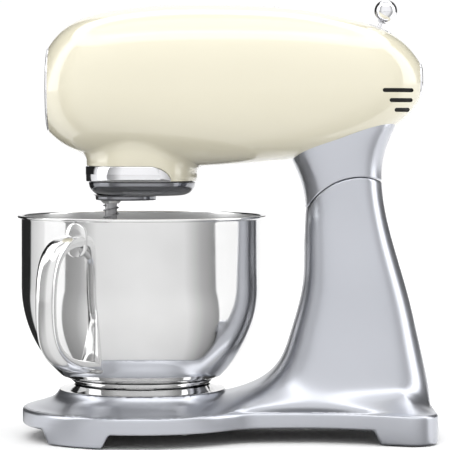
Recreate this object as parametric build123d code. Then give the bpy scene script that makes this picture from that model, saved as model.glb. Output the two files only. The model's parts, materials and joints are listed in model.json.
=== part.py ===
"""Tilt-head stand mixer, in millimetres.

Frame: +Z up, the bowl axis is the Z axis, the table is Z = 0. The mixer's front (bowl end) faces -X and
its column stands at +X. Each function builds one piece or one small group; PARTS lists them by node name.
"""
from build123d import *
import math
import os

# ---------------------------------------------------------------- driving dimensions
WALL = 3.0                    # head shell wall
CAST_WALL = 4.0               # stand casting wall

# stand
BASE_TOP = 27.5               # crease between skirt and upper face of the base
ARCH_TOP = 13.0               # underside of the skirt between the feet
LOBE_R = 110.0                # round front lobe of the base, about the bowl axis
REAR_X = 268.0                # rear end of the base
BASE_SIDE = [(118.0, 62.5), (152.0, 59.5), (190.0, 67.0), (220.0, 80.0)]    # waist: X, half width
BASE_REAR_HALF = 85.0
BASE_CORNER_R = 29.0          # rounded rear corner
FOOT_FRONT = (-82.0, -34.0)   # front feet, along X
FOOT_REAR = 218.0             # rear feet start here
HINGE = (199.0, 185.0)        # head hinge axis, X and Z
SEAM_R = 54.4                 # seam between column and neck, about the hinge axis
SEAM_GAP = 0.5
LOCK_TOP = 40.7               # face of the lock plate inside the pad's recess
BRACKET_Z = 120.0             # ledge that carries the hinge bracket
EAR = (16.0, 24.0)            # bracket ears, across Y
LUG = (5.0, 14.0)             # head frame's hinge cheeks, across Y
PIN_R = 6.0
SLOT_HALF = 15.5              # half width of the slot in the column's top
GLAND_R = 5.0
GLAND_Z = 21.8

# bowl
BOWL_R = 111.3
BOWL_WALL = 1.2
BOWL_DOME_Z = 140.0           # centre of the round bottom
BOWL_FLOOR_Z = 53.0
RIM_R = 114.7
RIM_Z = 204.0
FOOT_R = 61.0                 # bowl foot ring
SEAT_R = 76.3                 # seat ring, outside
SEAT_Z = 43.9
HANDLE_TURN = 29.6            # handle's angle from -Y towards -X, degrees
GRIP_R = 160.0                # grip's distance from the bowl axis

# planetary drive
HUB_TOP = 234.7
HUB_BOTTOM = 222.0
HUB_R = 49.0
SKIRT_R = 51.0
BAND_TOP = 249.1
BAND_BOTTOM = 235.3
SKIRT_STEP_X = 7.0            # the housing behind the band starts to hang down here
SKIRT_CURVE = 21.0            # run of its curved edge, along X
MAIN_SHAFT_R = 8.0
TOOL_SHAFT_R = 5.5
TOOL_TIP_Z = 172.0
TOOL_PIN_Z = 180.0
TOOL_PIN_R = 1.9

# gears: teeth and module
GEAR_M = 1.5
RING_TEETH = 58
PLANET_TEETH = 20
ORBIT_R = (RING_TEETH - PLANET_TEETH) * GEAR_M / 2
SLOW_M = 2.0
MAIN_TEETH = 42
IDLER_SMALL_TEETH = 14
IDLER_LARGE_TEETH = 50
PINION_TEETH = 14
BEVEL_M = 2.0
BEVEL_TEETH = 16
BEVEL_BORE_R = 5.0
IDLER_X = (MAIN_TEETH + IDLER_SMALL_TEETH) * SLOW_M / 2
MOTOR_X = IDLER_X + (IDLER_LARGE_TEETH + PINION_TEETH) * GEAR_M / 2
FAST_Z = (272.0, 280.0)       # level of the motor pinion and the idler's large wheel
SLOW_Z = (283.0, 293.0)       # level of the idler's small wheel and the main wheel
PLANET_Z = (237.5, 248.5)
BACKLASH = 0.16

# head ends and front drive
PORT_Z = 319.0
PORT_R = 39.0
HEAD_FRONT = -84.5
REAR_CAP_Z = 326.7
REAR_CAP_R = 16.2
HEAD_REAR = 254.5
VENTS = [(218.5, 247.5, 318.0), (225.0, 247.0, 309.0), (230.0, 244.5, 300.2)]
VENT_HEIGHT = 3.7
MOTOR_FLOOR = 297.0
LATCH_PIVOT = (176.0, 256.0)
LATCH_PIN_R = 2.5

# speed lever: its shoe runs in a curved track about this far point
TRACK_CENTRE = (102.4, 65.9)
TRACK_R = 329.5
LEVER_LEAN = 20.5             # degrees from vertical at rest
BALL_R = 10.5
STRIP = (121.0, 229.0)        # speed strip, along X
STRIP_HALF = 8.0

# head shell: X, top Z, bottom Z, half width, squareness of the section
HEAD_SECTIONS = [
    (HEAD_FRONT, 360.0, 279.0, 40.5, 2.0),
    (-80.0, 365.2, 274.6, 45.5, 2.1),
    (-72.0, 374.3, 268.6, 52.0, 2.2),
    (-60.0, 381.3, 262.4, 57.5, 2.3),
    (-44.0, 387.0, 257.4, 61.8, 2.4),
    (-20.0, 391.8, 252.8, 65.3, 2.45),
    (15.0, 395.4, 249.3, 67.0, 2.5),
    (60.0, 396.4, 248.4, 66.8, 2.5),
    (105.0, 395.3, 251.8, 64.5, 2.5),
    (150.0, 391.3, 256.2, 60.0, 2.45),
    (185.0, 385.0, 264.3, 54.3, 2.4),
    (213.0, 376.8, 274.8, 47.0, 2.3),
    (232.0, 368.3, 284.7, 39.3, 2.2),
    (246.0, 355.9, 297.3, 29.0, 2.1),
    (HEAD_REAR, 344.8, 308.6, 18.5, 2.0),
]

# column and neck: Z, front X, rear X, half width
PILLAR_SECTIONS = [
    (27.0, 60.0, 264.5, 78.0),
    (33.0, 72.0, 264.5, 66.5),
    (39.0, 84.0, 264.3, 59.5),
    (46.0, 98.0, 263.6, 55.5),
    (55.5, 114.5, 262.0, 52.5),
    (70.0, 126.5, 258.5, 49.5),
    (92.0, 136.0, 254.0, 46.5),
    (125.0, 145.3, 245.8, 43.5),
    (160.0, 149.2, 236.2, 41.0),
    (190.0, 149.8, 227.3, 39.0),
    (215.0, 150.6, 222.3, 38.0),
    (235.0, 146.2, 220.0, 37.8),
    (252.0, 139.6, 220.9, 38.0),
    (268.0, 133.5, 225.0, 37.5),
    (287.0, 127.0, 233.0, 35.0),
]
PILLAR_SQUARENESS = 2.9
HEAD_STEPS = 19               # sections in the head's loft
PILLAR_STEPS = 15             # sections in the pillar's loft


# ---------------------------------------------------------------- helpers
def cylinder(radius, z0, z1, x=0.0, y=0.0):
    """A cylinder along Z between two heights."""
    return Pos(x, y, (z0 + z1) / 2) * Cylinder(radius, z1 - z0)


def cylinder_x(radius, x0, x1, y=0.0, z=0.0):
    """A cylinder along X."""
    return Pos((x0 + x1) / 2, y, z) * Rot(0, 90, 0) * Cylinder(radius, x1 - x0)


def cylinder_y(radius, y0, y1, x=0.0, z=0.0):
    """A cylinder along Y."""
    return Pos(x, (y0 + y1) / 2, z) * Rot(90, 0, 0) * Cylinder(radius, y1 - y0)


def tube(outer, inner, z0, z1, x=0.0, y=0.0):
    """A round tube along Z."""
    return cylinder(outer, z0, z1, x, y) - cylinder(inner, z0 - 1, z1 + 1, x, y)


def block(x, y, z):
    """A box given by its low and high limits along each axis."""
    return Pos((x[0] + x[1]) / 2, (y[0] + y[1]) / 2, (z[0] + z[1]) / 2) * Box(
        x[1] - x[0], y[1] - y[0], z[1] - z[0]
    )


def plate_y(points, y0, y1):
    """A flat plate whose outline lies in the XZ plane."""
    face = make_face(Plane.XZ * Polyline(*points, close=True))
    return Pos(0, (y0 + y1) / 2, 0) * extrude(face, (y1 - y0) / 2, both=True)


def spin_profile(points):
    """Revolves a closed (r, z) polygon about the Z axis."""
    face = make_face(Plane.XZ * Polyline(*points, close=True))
    return revolve(face, Axis.Z)


def xz_face(curves):
    """A flat face in the XZ plane from curves drawn as (x, z)."""
    return Plane.XZ * make_face(curves)


def superellipse(count, half_a, half_b, power):
    """Points of a superellipse, as (a, b) pairs, going round once."""
    points = []
    for k in range(count):
        t = 2 * math.pi * (k + 0.5) / count
        c, s = math.cos(t), math.sin(t)
        points.append((
            half_a * math.copysign(abs(c) ** (2 / power), c),
            half_b * math.copysign(abs(s) ** (2 / power), s),
        ))
    return points


def blend_rows(rows, at):
    """Reads a table of rows at a value of its first column, by cubic Hermite pieces with averaged slopes."""
    last = len(rows) - 1
    k = max(i for i in range(last) if rows[i][0] <= at or i == 0)
    step = rows[k + 1][0] - rows[k][0]
    t = (at - rows[k][0]) / step
    values = []
    for column in range(1, len(rows[0])):
        def slope(i):
            low, high = max(i - 1, 0), min(i + 1, last)
            return (rows[high][column] - rows[low][column]) / (rows[high][0] - rows[low][0])
        a, b = rows[k][column], rows[k + 1][column]
        values.append(
            (2 * t ** 3 - 3 * t ** 2 + 1) * a + (t ** 3 - 2 * t ** 2 + t) * step * slope(k)
            + (3 * t ** 2 - 2 * t ** 3) * b + (t ** 3 - t ** 2) * step * slope(k + 1)
        )
    return values


def stations(low, high, count):
    """Heights or distances from low to high, closer together towards both ends."""
    return [(low + high) / 2 - (high - low) / 2 * math.cos(math.pi * k / (count - 1)) for k in range(count)]


def section_face(points):
    """A flat face inside one closed smooth curve through the points."""
    return make_face(Spline(*points, periodic=True))


def head_solid(grow):
    """The head's outside grown by a distance (negative for the cavity)."""
    middle = (HEAD_FRONT + HEAD_REAR) / 2
    half = (HEAD_REAR - HEAD_FRONT) / 2
    faces = []
    for x in stations(HEAD_FRONT, HEAD_REAR, HEAD_STEPS):
        top, bottom, half_width, power = blend_rows(HEAD_SECTIONS, x)
        place = middle + (x - middle) * (half + min(grow, 0)) / half
        centre, half_height = (top + bottom) / 2, (top - bottom) / 2
        ring = superellipse(20, half_width + grow, half_height + grow, power)
        faces.append(section_face([(place, y, centre + z) for y, z in ring]))
    return loft(faces, ruled=True)


def pillar_solid(grow):
    """Column and neck as one body, grown by a distance (negative for the cavity)."""
    faces = []
    for z in stations(PILLAR_SECTIONS[0][0], PILLAR_SECTIONS[-1][0], PILLAR_STEPS):
        front, rear, half_width = blend_rows(PILLAR_SECTIONS, z)
        centre, half = (front + rear) / 2, (rear - front) / 2
        ring = superellipse(20, half + grow, half_width + grow, PILLAR_SQUARENESS)
        faces.append(section_face([(centre + x, y, z) for x, y in ring]))
    return loft(faces, ruled=True)


def about_hinge(radius):
    """A long cylinder about the hinge axis."""
    return cylinder_y(radius, -120, 120, *HINGE)


# ---------------------------------------------------------------- gears
def involute(angle):
    return math.tan(angle) - angle


def gear_profile(teeth, module, tooth_at, addendum=0.8, dedendum=1.2, widen=0.0):
    """Outline of a spur gear whose first tooth is centred at tooth_at degrees. widen thickens every tooth."""
    pitch_r = teeth * module / 2
    base_r = pitch_r * math.cos(math.radians(20))
    tip_r, root_r = pitch_r + addendum * module, pitch_r - dedendum * module
    flank_start = max(base_r, root_r)
    radii = [root_r] if root_r < base_r else []
    radii += [flank_start + (tip_r - flank_start) * k / 3 for k in range(4)]
    half_pitch_angle = math.pi / (2 * teeth) + widen / (2 * pitch_r)
    rolled = half_pitch_angle + involute(math.radians(20))
    flank = []
    for r in radii:
        pressure = math.acos(min(1.0, base_r / r))
        flank.append((r, rolled - involute(pressure)))
    points = []
    for k in range(teeth):
        centre = math.radians(tooth_at) + 2 * math.pi * k / teeth
        for r, half in flank:
            points.append((r * math.cos(centre - half), r * math.sin(centre - half)))
        for r, half in reversed(flank):
            points.append((r * math.cos(centre + half), r * math.sin(centre + half)))
    return Polyline(*points, close=True)


def spur_gear(teeth, module, tooth_at, z, x=0.0, bore=None):
    """A spur gear between two heights, on the axis at x."""
    face = make_face(gear_profile(teeth, module, tooth_at, widen=-BACKLASH))
    gear = Pos(x, 0, z[0]) * extrude(face, z[1] - z[0])
    if bore:
        gear -= cylinder(bore, z[0] - 1, z[1] + 1, x)
    return gear


def bevel_wheel(tooth_at, mirror_axis=False):
    """A straight mitre gear about Z below its apex at the origin, or turned onto the -X axis."""
    cone = BEVEL_TEETH * BEVEL_M / 2 * math.sqrt(2)
    inner = (cone - 5.0) / cone
    add, ded = 0.8 * BEVEL_M, 1.1 * BEVEL_M
    slope = math.tan(math.radians(20))
    bulge = 2 * 7.7
    at_pitch = math.pi * BEVEL_M / 4 - 0.3
    along, normal = Vector(1, 0, -1) / math.sqrt(2), Vector(1, 0, 1) / math.sqrt(2)

    def tooth_ring(scale):
        widths = [
            (-ded - 1.0, at_pitch + ded * slope - ded ** 2 / bulge),
            (-ded, at_pitch + ded * slope - ded ** 2 / bulge),
            (0.0, at_pitch),
            (add, at_pitch - add * slope - add ** 2 / bulge),
        ]
        ring = widths + [(h, -w) for h, w in reversed(widths)]
        return make_face(Polyline(
            *[(along * cone + normal * h + Vector(0, w, 0)) * scale for h, w in ring], close=True
        ))

    tooth = loft([tooth_ring(1.0), tooth_ring(inner)], ruled=True)
    root_big = along * cone - normal * ded
    root_small = root_big * inner
    body = spin_profile([
        (0, root_big.Z), (root_big.X, root_big.Z), (root_small.X, root_small.Z), (0, root_small.Z),
    ])
    wheel = body
    for k in range(BEVEL_TEETH):
        wheel += Rot(0, 0, tooth_at + 360 * k / BEVEL_TEETH) * tooth
    if mirror_axis:
        wheel = Rot(0, 90, 0) * wheel
    return Pos(0, 0, PORT_Z) * wheel


# ---------------------------------------------------------------- stand
def base_outline(grow):
    """Plan outline of the base: a round front lobe, a waist, and a wide rounded rear."""
    lobe = LOBE_R + grow
    join = math.radians(52)
    x0, y0 = lobe * math.sin(join), lobe * math.cos(join)
    half, rear = BASE_REAR_HALF + grow, REAR_X + grow
    turn = (rear - BASE_CORNER_R, half)
    side = [(x0, y0)] + [(x, y + grow) for x, y in BASE_SIDE] + [turn]
    top_side = Spline(*side, tangents=[Vector(math.cos(join), -math.sin(join)), Vector(1, 0)])
    middle = BASE_CORNER_R * (1 - math.sqrt(0.5))
    top_corner = ThreePointArc(turn, (rear - middle, half - middle), (rear, half - BASE_CORNER_R))
    low_side = mirror(top_side, about=Plane.XZ)
    low_corner = mirror(top_corner, about=Plane.XZ)
    back = Line((rear, half - BASE_CORNER_R), (rear, BASE_CORNER_R - half))
    nose = ThreePointArc((x0, y0), (-lobe, 0), (x0, -y0))
    return make_face([nose, top_side, top_corner, back, low_corner, low_side])


def base_slab():
    slab = extrude(base_outline(0.0), BASE_TOP - 1.0)
    slab = Pos(0, 0, 1.0) * slab
    top_edges = slab.edges().filter_by_position(Axis.Z, BASE_TOP - 0.01, BASE_TOP + 0.01)
    slab = fillet(top_edges, 3.5)
    front_a, front_b = FOOT_FRONT
    slab -= plate_y([
        (front_b - 4, 0), (front_b - 1, 3), (front_b + 3, ARCH_TOP - 2), (front_b + 8, ARCH_TOP),
        (FOOT_REAR - 8, ARCH_TOP), (FOOT_REAR - 3, ARCH_TOP - 2), (FOOT_REAR + 1, 3), (FOOT_REAR + 4, 0),
    ], -130, 130)
    slab -= plate_y([
        (-130, 0), (front_a + 3, 0), (front_a, 3), (front_a - 3, ARCH_TOP - 2), (front_a - 8, ARCH_TOP),
        (-130, ARCH_TOP),
    ], -130, 130)
    slab -= block((236, 300), (-44, 44), (0, ARCH_TOP))
    return slab


def bowl_pad():
    """Raised round pad under the bowl, with a recess for the lock plate."""
    half = xz_face([
        Line((0, 20), (107.5, 20)),
        Line((107.5, 20), (107.5, 26.5)),
        Spline((107.5, 26.5), (95, 32.4), (85.5, 35.8), (SEAT_R + 0.4, SEAT_Z)),
        Line((SEAT_R + 0.4, SEAT_Z), (0, SEAT_Z)),
        Line((0, SEAT_Z), (0, 20)),
    ])
    return revolve(half, Axis.Z)


def stand_casting():
    column = pillar_solid(0.0)
    above = block((100, 320), (-120, 120), (HINGE[1], 320)) - about_hinge(SEAM_R - SEAM_GAP)
    column -= above
    column &= extrude(base_outline(-2.0), 300)
    body = base_slab() + bowl_pad() + column
    hollow = pillar_solid(-CAST_WALL)
    hollow -= block((0, 320), (-120, 120), (0, 30))
    hollow &= extrude(base_outline(-2.0 - CAST_WALL), 300)
    top_skin = block((100, 320), (-120, 120), (HINGE[1], 320)) - about_hinge(SEAM_R - SEAM_GAP - CAST_WALL)
    hollow -= top_skin
    for side in (-1, 1):
        hollow -= block((176, 222), sorted((side * 20, side * 60)), (BRACKET_Z - 9, BRACKET_Z))
    under = extrude(base_outline(-CAST_WALL), BASE_TOP - 5.0)
    body -= hollow
    body -= under
    body -= spin_profile([(0, 0), (98, 0), (98, 23.5), (84, 30), (72, SEAT_Z - 8), (0, SEAT_Z - 8)])
    body -= hinge_sector(40, 60, 76, 149, SLOT_HALF)
    body -= block((118, 250), (-44, 44), (15, 40))
    body -= cylinder(SEAT_R - 9.5, SEAT_Z - 4.0, SEAT_Z + 5)
    body -= cylinder_x(GLAND_R, REAR_X - 12, REAR_X + 5, 0, GLAND_Z)
    for x, y in bracket_screw_places():
        body -= cylinder(2.0, BRACKET_Z - 20, BRACKET_Z + 20, x, y)
    for x, y in lock_screw_places():
        body -= cylinder(1.8, 30, 50, x, y)
    for x, y in foot_places():
        body += cylinder(13, 5.0, 24.0, x, y)
    return body


def foot_places():
    return [(-52, 75), (-52, -75), (238, 61), (238, -61)]


def bracket_screw_places():
    return [(187, 30), (187, -30), (211, 30), (211, -30)]


def lock_screw_places():
    corners = [math.radians(45 + 90 * k) for k in range(4)]
    return [(50 * math.cos(a), 50 * math.sin(a)) for a in corners]


def rubber_feet():
    feet = None
    for x, y in foot_places():
        foot = cylinder(11, 0, 5.0, x, y)
        foot = chamfer(foot.edges().group_by(Axis.Z)[0], 1.0)
        feet = foot if feet is None else feet + foot
    return feet


def base_cover():
    """Flat plastic cover that closes the base from below."""
    plate = Pos(0, 0, 14.0) * extrude(base_outline(-CAST_WALL - 0.4), 2.2)
    for x, y in foot_places():
        plate -= cylinder(13.4, 0, 40, x, y)
    for x, y in cover_screw_places():
        plate -= cylinder(2.3, 0, 40, x, y)
    return plate


def cover_screw_places():
    return [(-88, 0), (40, 88), (40, -88), (150, 46), (150, -46), (250, 0)]


def screw(length, z_top, x, y, head_r=4.0, shank_r=2.0, up=True):
    """Pan-head screw along Z with a cross recess. The head's bearing face is at z_top."""
    sign = 1 if up else -1
    head = cylinder(head_r, *sorted((z_top, z_top + sign * 2.4)), x, y)
    recess = block((x - 2.2, x + 2.2), (y - 0.5, y + 0.5), sorted((z_top + sign * 1.2, z_top + sign * 3)))
    recess += block((x - 0.5, x + 0.5), (y - 2.2, y + 2.2), sorted((z_top + sign * 1.2, z_top + sign * 3)))
    shank = cylinder(shank_r, *sorted((z_top, z_top - sign * length)), x, y)
    return head + shank - recess


def stand_screws():
    group = None
    for x, y in cover_screw_places():
        one = screw(6.0, 14.0, x, y, head_r=3.6, shank_r=1.8, up=False)
        group = one if group is None else group + one
    for x, y in lock_screw_places():
        group += screw(4.5, LOCK_TOP, x, y, head_r=3.6, shank_r=1.8)
    for x, y in bracket_screw_places():
        group += screw(10.0, BRACKET_Z + 6, x, y)
    return group


# hinge and lock levels


def hinge_sector(inner, outer, from_deg, to_deg, half_y):
    """Part of a cylinder wall about the hinge axis. Angles go from +X towards +Z."""
    steps = 8
    rim = []
    for radius, order in ((outer, range(steps + 1)), (inner, range(steps, -1, -1))):
        for k in order:
            a = math.radians(from_deg + (to_deg - from_deg) * k / steps)
            rim.append((HINGE[0] + radius * math.cos(a), HINGE[1] + radius * math.sin(a)))
    return plate_y(rim, -half_y, half_y)


def bowl_seat_ring():
    half = xz_face([
        Line((67.2, SEAT_Z), (SEAT_R, SEAT_Z)),
        Line((SEAT_R, SEAT_Z), (SEAT_R, SEAT_Z + 0.5)),
        Spline((SEAT_R, SEAT_Z + 0.5), (70.5, 45.3), (65.5, 46.9), (62.9, 47.8)),
        Line((62.9, 47.8), (62.3, 47.5)),
        Line((62.3, 47.5), (62.3, 45.0)),
        Line((62.3, 45.0), (67.2, 45.0)),
        Line((67.2, 45.0), (67.2, SEAT_Z)),
    ])
    return revolve(half, Axis.Z)


def turned_sector(inner, outer, z0, z1, centre_deg, width_deg):
    """Part of a tube about the bowl axis."""
    steps = 6
    rim = []
    for radius, order in ((outer, range(steps + 1)), (inner, range(steps, -1, -1))):
        for k in order:
            a = math.radians(centre_deg + width_deg * (k / steps - 0.5))
            rim.append((radius * math.cos(a), radius * math.sin(a)))
    face = make_face(Polyline(*rim, close=True))
    return Pos(0, 0, (z0 + z1) / 2) * extrude(face, (z1 - z0) / 2, both=True)


def bowl_lock_plate():
    plate = tube(66.8, 36.0, SEAT_Z - 4.0, LOCK_TOP)
    plate += tube(66.8, 65.9, LOCK_TOP - 0.2, 44.8)
    for k in range(3):
        plate += turned_sector(62.2, 66.3, 43.5, 44.8, 30 + 120 * k, 25)
    for x, y in lock_screw_places():
        plate -= cylinder(1.8, 30, 50, x, y)
    return plate


def hinge_bracket():
    bracket = block((178, 220), (-35.0, 35.0), (BRACKET_Z, BRACKET_Z + 6))
    bracket = bracket & pillar_solid(-CAST_WALL - 0.2)
    for side in (-1, 1):
        y0, y1 = sorted((side * EAR[0], side * EAR[1]))
        ear = plate_y([(181, BRACKET_Z + 5), (217, BRACKET_Z + 5), (217, HINGE[1]), (181, HINGE[1])], y0, y1)
        ear += cylinder_y(18, y0, y1, *HINGE)
        bracket += ear
    bracket -= cylinder_y(PIN_R, -60, 60, *HINGE)
    for x, y in bracket_screw_places():
        bracket -= cylinder(2.0, 100, 140, x, y)
    return bracket


def hinge_pin():
    pin = cylinder_y(PIN_R, -29, 29, *HINGE)
    return chamfer(pin.edges().group_by(Axis.Y)[0] + pin.edges().group_by(Axis.Y)[-1], 0.8)


def latch_keeper():
    low = BRACKET_Z + 6
    foot = block((176, 196), (-9, 9), (low, low + 3))
    arm = [(180, low + 2), (190, low + 2), (176, 176), (165, 208), (159, 207), (164, 176)]
    return foot + plate_y(arm, -4, 4)


def control_board():
    board = block((160, 222), (-28, 28), (24.0, 25.6))
    for x in (165, 217):
        for y in (-23, 23):
            board += cylinder(2.5, 16.2, 24.0, x, y)
    board += block((172, 190), (-18, 4), (25.6, 37))
    board += cylinder(6, 25.6, 40, 205, 14) + cylinder(4.5, 25.6, 34, 205, -14)
    return board


def cord_gland():
    gland = cylinder_x(GLAND_R, REAR_X - 9, REAR_X - 0.4, 0, GLAND_Z)
    return gland - cylinder_x(3.0, REAR_X - 20, REAR_X + 5, 0, GLAND_Z)


# ---------------------------------------------------------------- bowl
def bowl_outside():
    """Everything inside the bowl's outer face, as a solid."""
    low = math.sqrt(BOWL_R ** 2 - (BOWL_DOME_Z - 57.0) ** 2)
    half = xz_face([
        Line((0, BOWL_FLOOR_Z), (62, BOWL_FLOOR_Z)),
        Spline((62, BOWL_FLOOR_Z), (low, 57.0), tangents=[
            Vector(1, 0), Vector(BOWL_DOME_Z - 57.0, low)]),
        ThreePointArc(
            (low, 57.0),
            (BOWL_R * math.cos(math.radians(25)), BOWL_DOME_Z - BOWL_R * math.sin(math.radians(25))),
            (BOWL_R, BOWL_DOME_Z)),
        Line((BOWL_R, BOWL_DOME_Z), (BOWL_R, RIM_Z - 3.2)),
        Line((BOWL_R, RIM_Z - 3.2), (0, RIM_Z - 3.2)),
        Line((0, RIM_Z - 3.2), (0, BOWL_FLOOR_Z)),
    ])
    return revolve(half, Axis.Z)


def bowl_shell():
    inner = BOWL_R - BOWL_WALL
    floor = BOWL_FLOOR_Z + BOWL_WALL
    low = math.sqrt(inner ** 2 - (BOWL_DOME_Z - 58.0) ** 2)
    space = xz_face([
        Line((0, floor), (62, floor)),
        Spline((62, floor), (low, 58.0), tangents=[Vector(1, 0), Vector(BOWL_DOME_Z - 58.0, low)]),
        ThreePointArc(
            (low, 58.0),
            (inner * math.cos(math.radians(25)), BOWL_DOME_Z - inner * math.sin(math.radians(25))),
            (inner, BOWL_DOME_Z)),
        Line((inner, BOWL_DOME_Z), (inner, RIM_Z + 3)),
        Line((inner, RIM_Z + 3), (0, RIM_Z + 3)),
        Line((0, RIM_Z + 3), (0, floor)),
    ])
    rim = xz_face([
        Line((inner - 0.5, RIM_Z - 3.2), (BOWL_R, RIM_Z - 3.2)),
        Line((BOWL_R, RIM_Z - 3.2), (RIM_R - 1.2, RIM_Z - 2.2)),
        ThreePointArc((RIM_R - 1.2, RIM_Z - 2.2), (RIM_R, RIM_Z - 1.1), (RIM_R - 1.2, RIM_Z)),
        Line((RIM_R - 1.2, RIM_Z), (inner - 0.5, RIM_Z)),
        Line((inner - 0.5, RIM_Z), (inner - 0.5, RIM_Z - 3.2)),
    ])
    shell = bowl_outside() + revolve(rim, Axis.Z) - revolve(space, Axis.Z)
    return shell


def bowl_foot():
    foot = tube(FOOT_R, FOOT_R - 4.0, 41.0, BOWL_FLOOR_Z)
    for k in range(3):
        foot += turned_sector(FOOT_R - 0.5, 65.0, 41.0, 43.0, 30 + 120 * k, 25)
    return foot


def bowl_handle():
    """Bent strap handle with a welded pad at its top, in the plane of the bowl axis."""
    path = Plane.XZ * Spline(
        (106, 184), (132, 182.5), (150.5, 171), (159.4, 150), (GRIP_R, 122), (157, 100), (144, 83.5),
        (118, 74), (80, 69),
        tangents=[Vector(1, 0), Vector(-1, -0.1)],
    )
    section = Plane(origin=path @ 0, z_dir=path % 0, x_dir=(0, 1, 0)) * Ellipse(10.0, 6.0)
    strap = sweep(section, path)
    pad_face = Plane.YZ * (Pos(0, 185.0) * SlotCenterPoint((0, 0), (0, 4.5), 22))
    pad = Pos(100, 0, 0) * extrude(pad_face, 14.4)
    handle = strap + pad - bowl_outside()
    return Rot(0, 0, -90 - HANDLE_TURN) * handle


# ---------------------------------------------------------------- head
def skirt_rear(gap):
    """The part of the planetary housing that hangs down behind the hub band, as a cutting block."""
    low = BAND_BOTTOM - 0.3
    curve = []
    for k in range(7):
        a = math.radians(90 * k / 6)
        curve.append((SKIRT_STEP_X + SKIRT_CURVE * math.sin(a) + gap, low + (BAND_TOP - low) * math.cos(a)))
    outline = curve + [(90, low), (90, 300), (-70, 300), (-70, BAND_TOP)]
    return plate_y(outline, -80, 80)


def head_shell(outside, inside, neck_inside):
    skirt = tube(SKIRT_R, SKIRT_R - 2.5, BAND_BOTTOM - 0.3, 280) & skirt_rear(0.0)
    shell = outside + skirt
    shell -= inside
    shell -= cylinder(SKIRT_R - 2.5, 230, 285)
    shell -= neck_inside & block((100, 260), (-60, 60), (230, 300))
    shell -= cylinder_x(20.0, HEAD_FRONT - 5, HEAD_FRONT + 6, 0, PORT_Z)
    shell -= cylinder_x(REAR_CAP_R + 0.4, HEAD_REAR - 8, HEAD_REAR + 5, 0, REAR_CAP_Z)
    shell -= lever_slot(2.7)
    for x0, x1, z in VENTS:
        shell -= vent_cut(x0, x1, z, 0.0)
    return shell


def vent_cut(x0, x1, z, grow):
    """One long round-ended vent through both sides of the head."""
    slot = Plane.XZ * (Pos((x0 + x1) / 2, z) * SlotOverall(x1 - x0 + 2 * grow, VENT_HEIGHT + 2 * grow))
    return Pos(0, 90, 0) * extrude(slot, 180)


def lever_slot(half):
    return Pos(0, 0, 340) * extrude(Pos(175.5, 0) * SlotOverall(95, 2 * half), 80)


def vent_baffles(inside):
    zone = block((213, 249), (-60, 60), (296, 322.5)) - block((200, 260), (-20, 20), (290, 330))
    skin = inside - head_solid(-WALL - 1.4)
    return skin & zone


def speed_scale_strip(outside):
    outline = Pos(sum(STRIP) / 2, 0) * SlotOverall(STRIP[1] - STRIP[0], 2 * STRIP_HALF)
    prism = Pos(0, 0, 340) * extrude(outline, 80)
    return (head_solid(0.6) & prism) - outside - lever_slot(2.4)


def lever_guide(inside):
    rails = block((126, 232), (-8, 8), (330, 400)) - block((131, 227), (-5, 5), (320, 410))
    rails -= cylinder_y(TRACK_R - 11, -50, 50, *TRACK_CENTRE)
    rails = rails & inside
    return rails - cylinder_x(9, 100, 250, 0, 330)


def hub_band():
    band = tube(SKIRT_R + 1.0, SKIRT_R - 2.3, BAND_BOTTOM, BAND_TOP - 0.15)
    return band - skirt_rear(-0.15)


def head_frame(inside):
    """Gear case floor, bearing bosses, motor posts, port bearing housing and hinge cheeks, cast in one."""
    floor = (262.5, 267.0)
    frame = cylinder(47.9, *floor) + tube(47.9, 43.0, 249.0, 263.0) + cylinder(21.0, 250.0, 271.5)
    frame += block((0, 142), (-32, 32), floor) + block((140, 205), (-24, 24), floor)
    frame += cylinder(11.0, 262.0, 270.5, IDLER_X)
    for x, y in motor_posts():
        frame += cylinder(5.0, 266.0, MOTOR_FLOOR, x, y)
    frame += block((-56, -40), (-9, 9), (266.5, 276)) + block((-56, -46.5), (-9, 9), (270, 305))
    frame += cylinder_x(20.0, -78.0, -30.0, 0, PORT_Z)
    hanging = frame & block((-90, 210), (-60, 60), (261, 400))
    below = frame - block((-90, 210), (-60, 60), (261, 400))
    frame = (hanging & (inside + block((118, 206), (-24, 24), (255, 290)) + cylinder(47.9, 255, 270))) + below
    frame -= cylinder_x(16.0, -90.0, -20.0, 0, PORT_Z)
    frame -= cylinder(46.2, 280.0, 296.5)
    for side in (-1, 1):
        y0, y1 = sorted((side * LUG[0], side * LUG[1]))
        cheek = plate_y([
            (151, 266), (150.5, 236), (157, 216.5), (188, 176), (208, 190), (176, 233), (186, 243), (200, 266),
        ], y0, y1)
        cheek += cylinder_y(14, y0, y1, *HINGE)
        frame += cheek
        frame -= cylinder_y(PIN_R + 2, y0 - 1, y1 + 1, *HINGE)
    for x, y in motor_posts():
        frame -= cylinder(2.0, MOTOR_FLOOR - 6, MOTOR_FLOOR + 5, x, y)
    frame -= cylinder(16.0, 253.4, 280)
    frame -= cylinder(13.0, 240, 280)
    frame -= cylinder(5.0, 250, 280, IDLER_X)
    frame -= cylinder(12.5, 255, 275, MOTOR_X)
    frame -= cylinder_y(LATCH_PIN_R, -60, 60, *LATCH_PIVOT)
    frame -= block((150, 196), (-LUG[0], LUG[0]), (261, 268))
    return frame


def motor_posts():
    return [(97, 27), (97, -27), (136, 26), (136, -26)]


def hinge_bushes():
    pair = None
    for side in (-1, 1):
        y0, y1 = sorted((side * (LUG[0] - 0.4), side * (LUG[1] + 1.2)))
        one = cylinder_y(PIN_R + 2, y0, y1, *HINGE) - cylinder_y(PIN_R + 0.05, y0 - 1, y1 + 1, *HINGE)
        pair = one if pair is None else pair + one
    return pair


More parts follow.
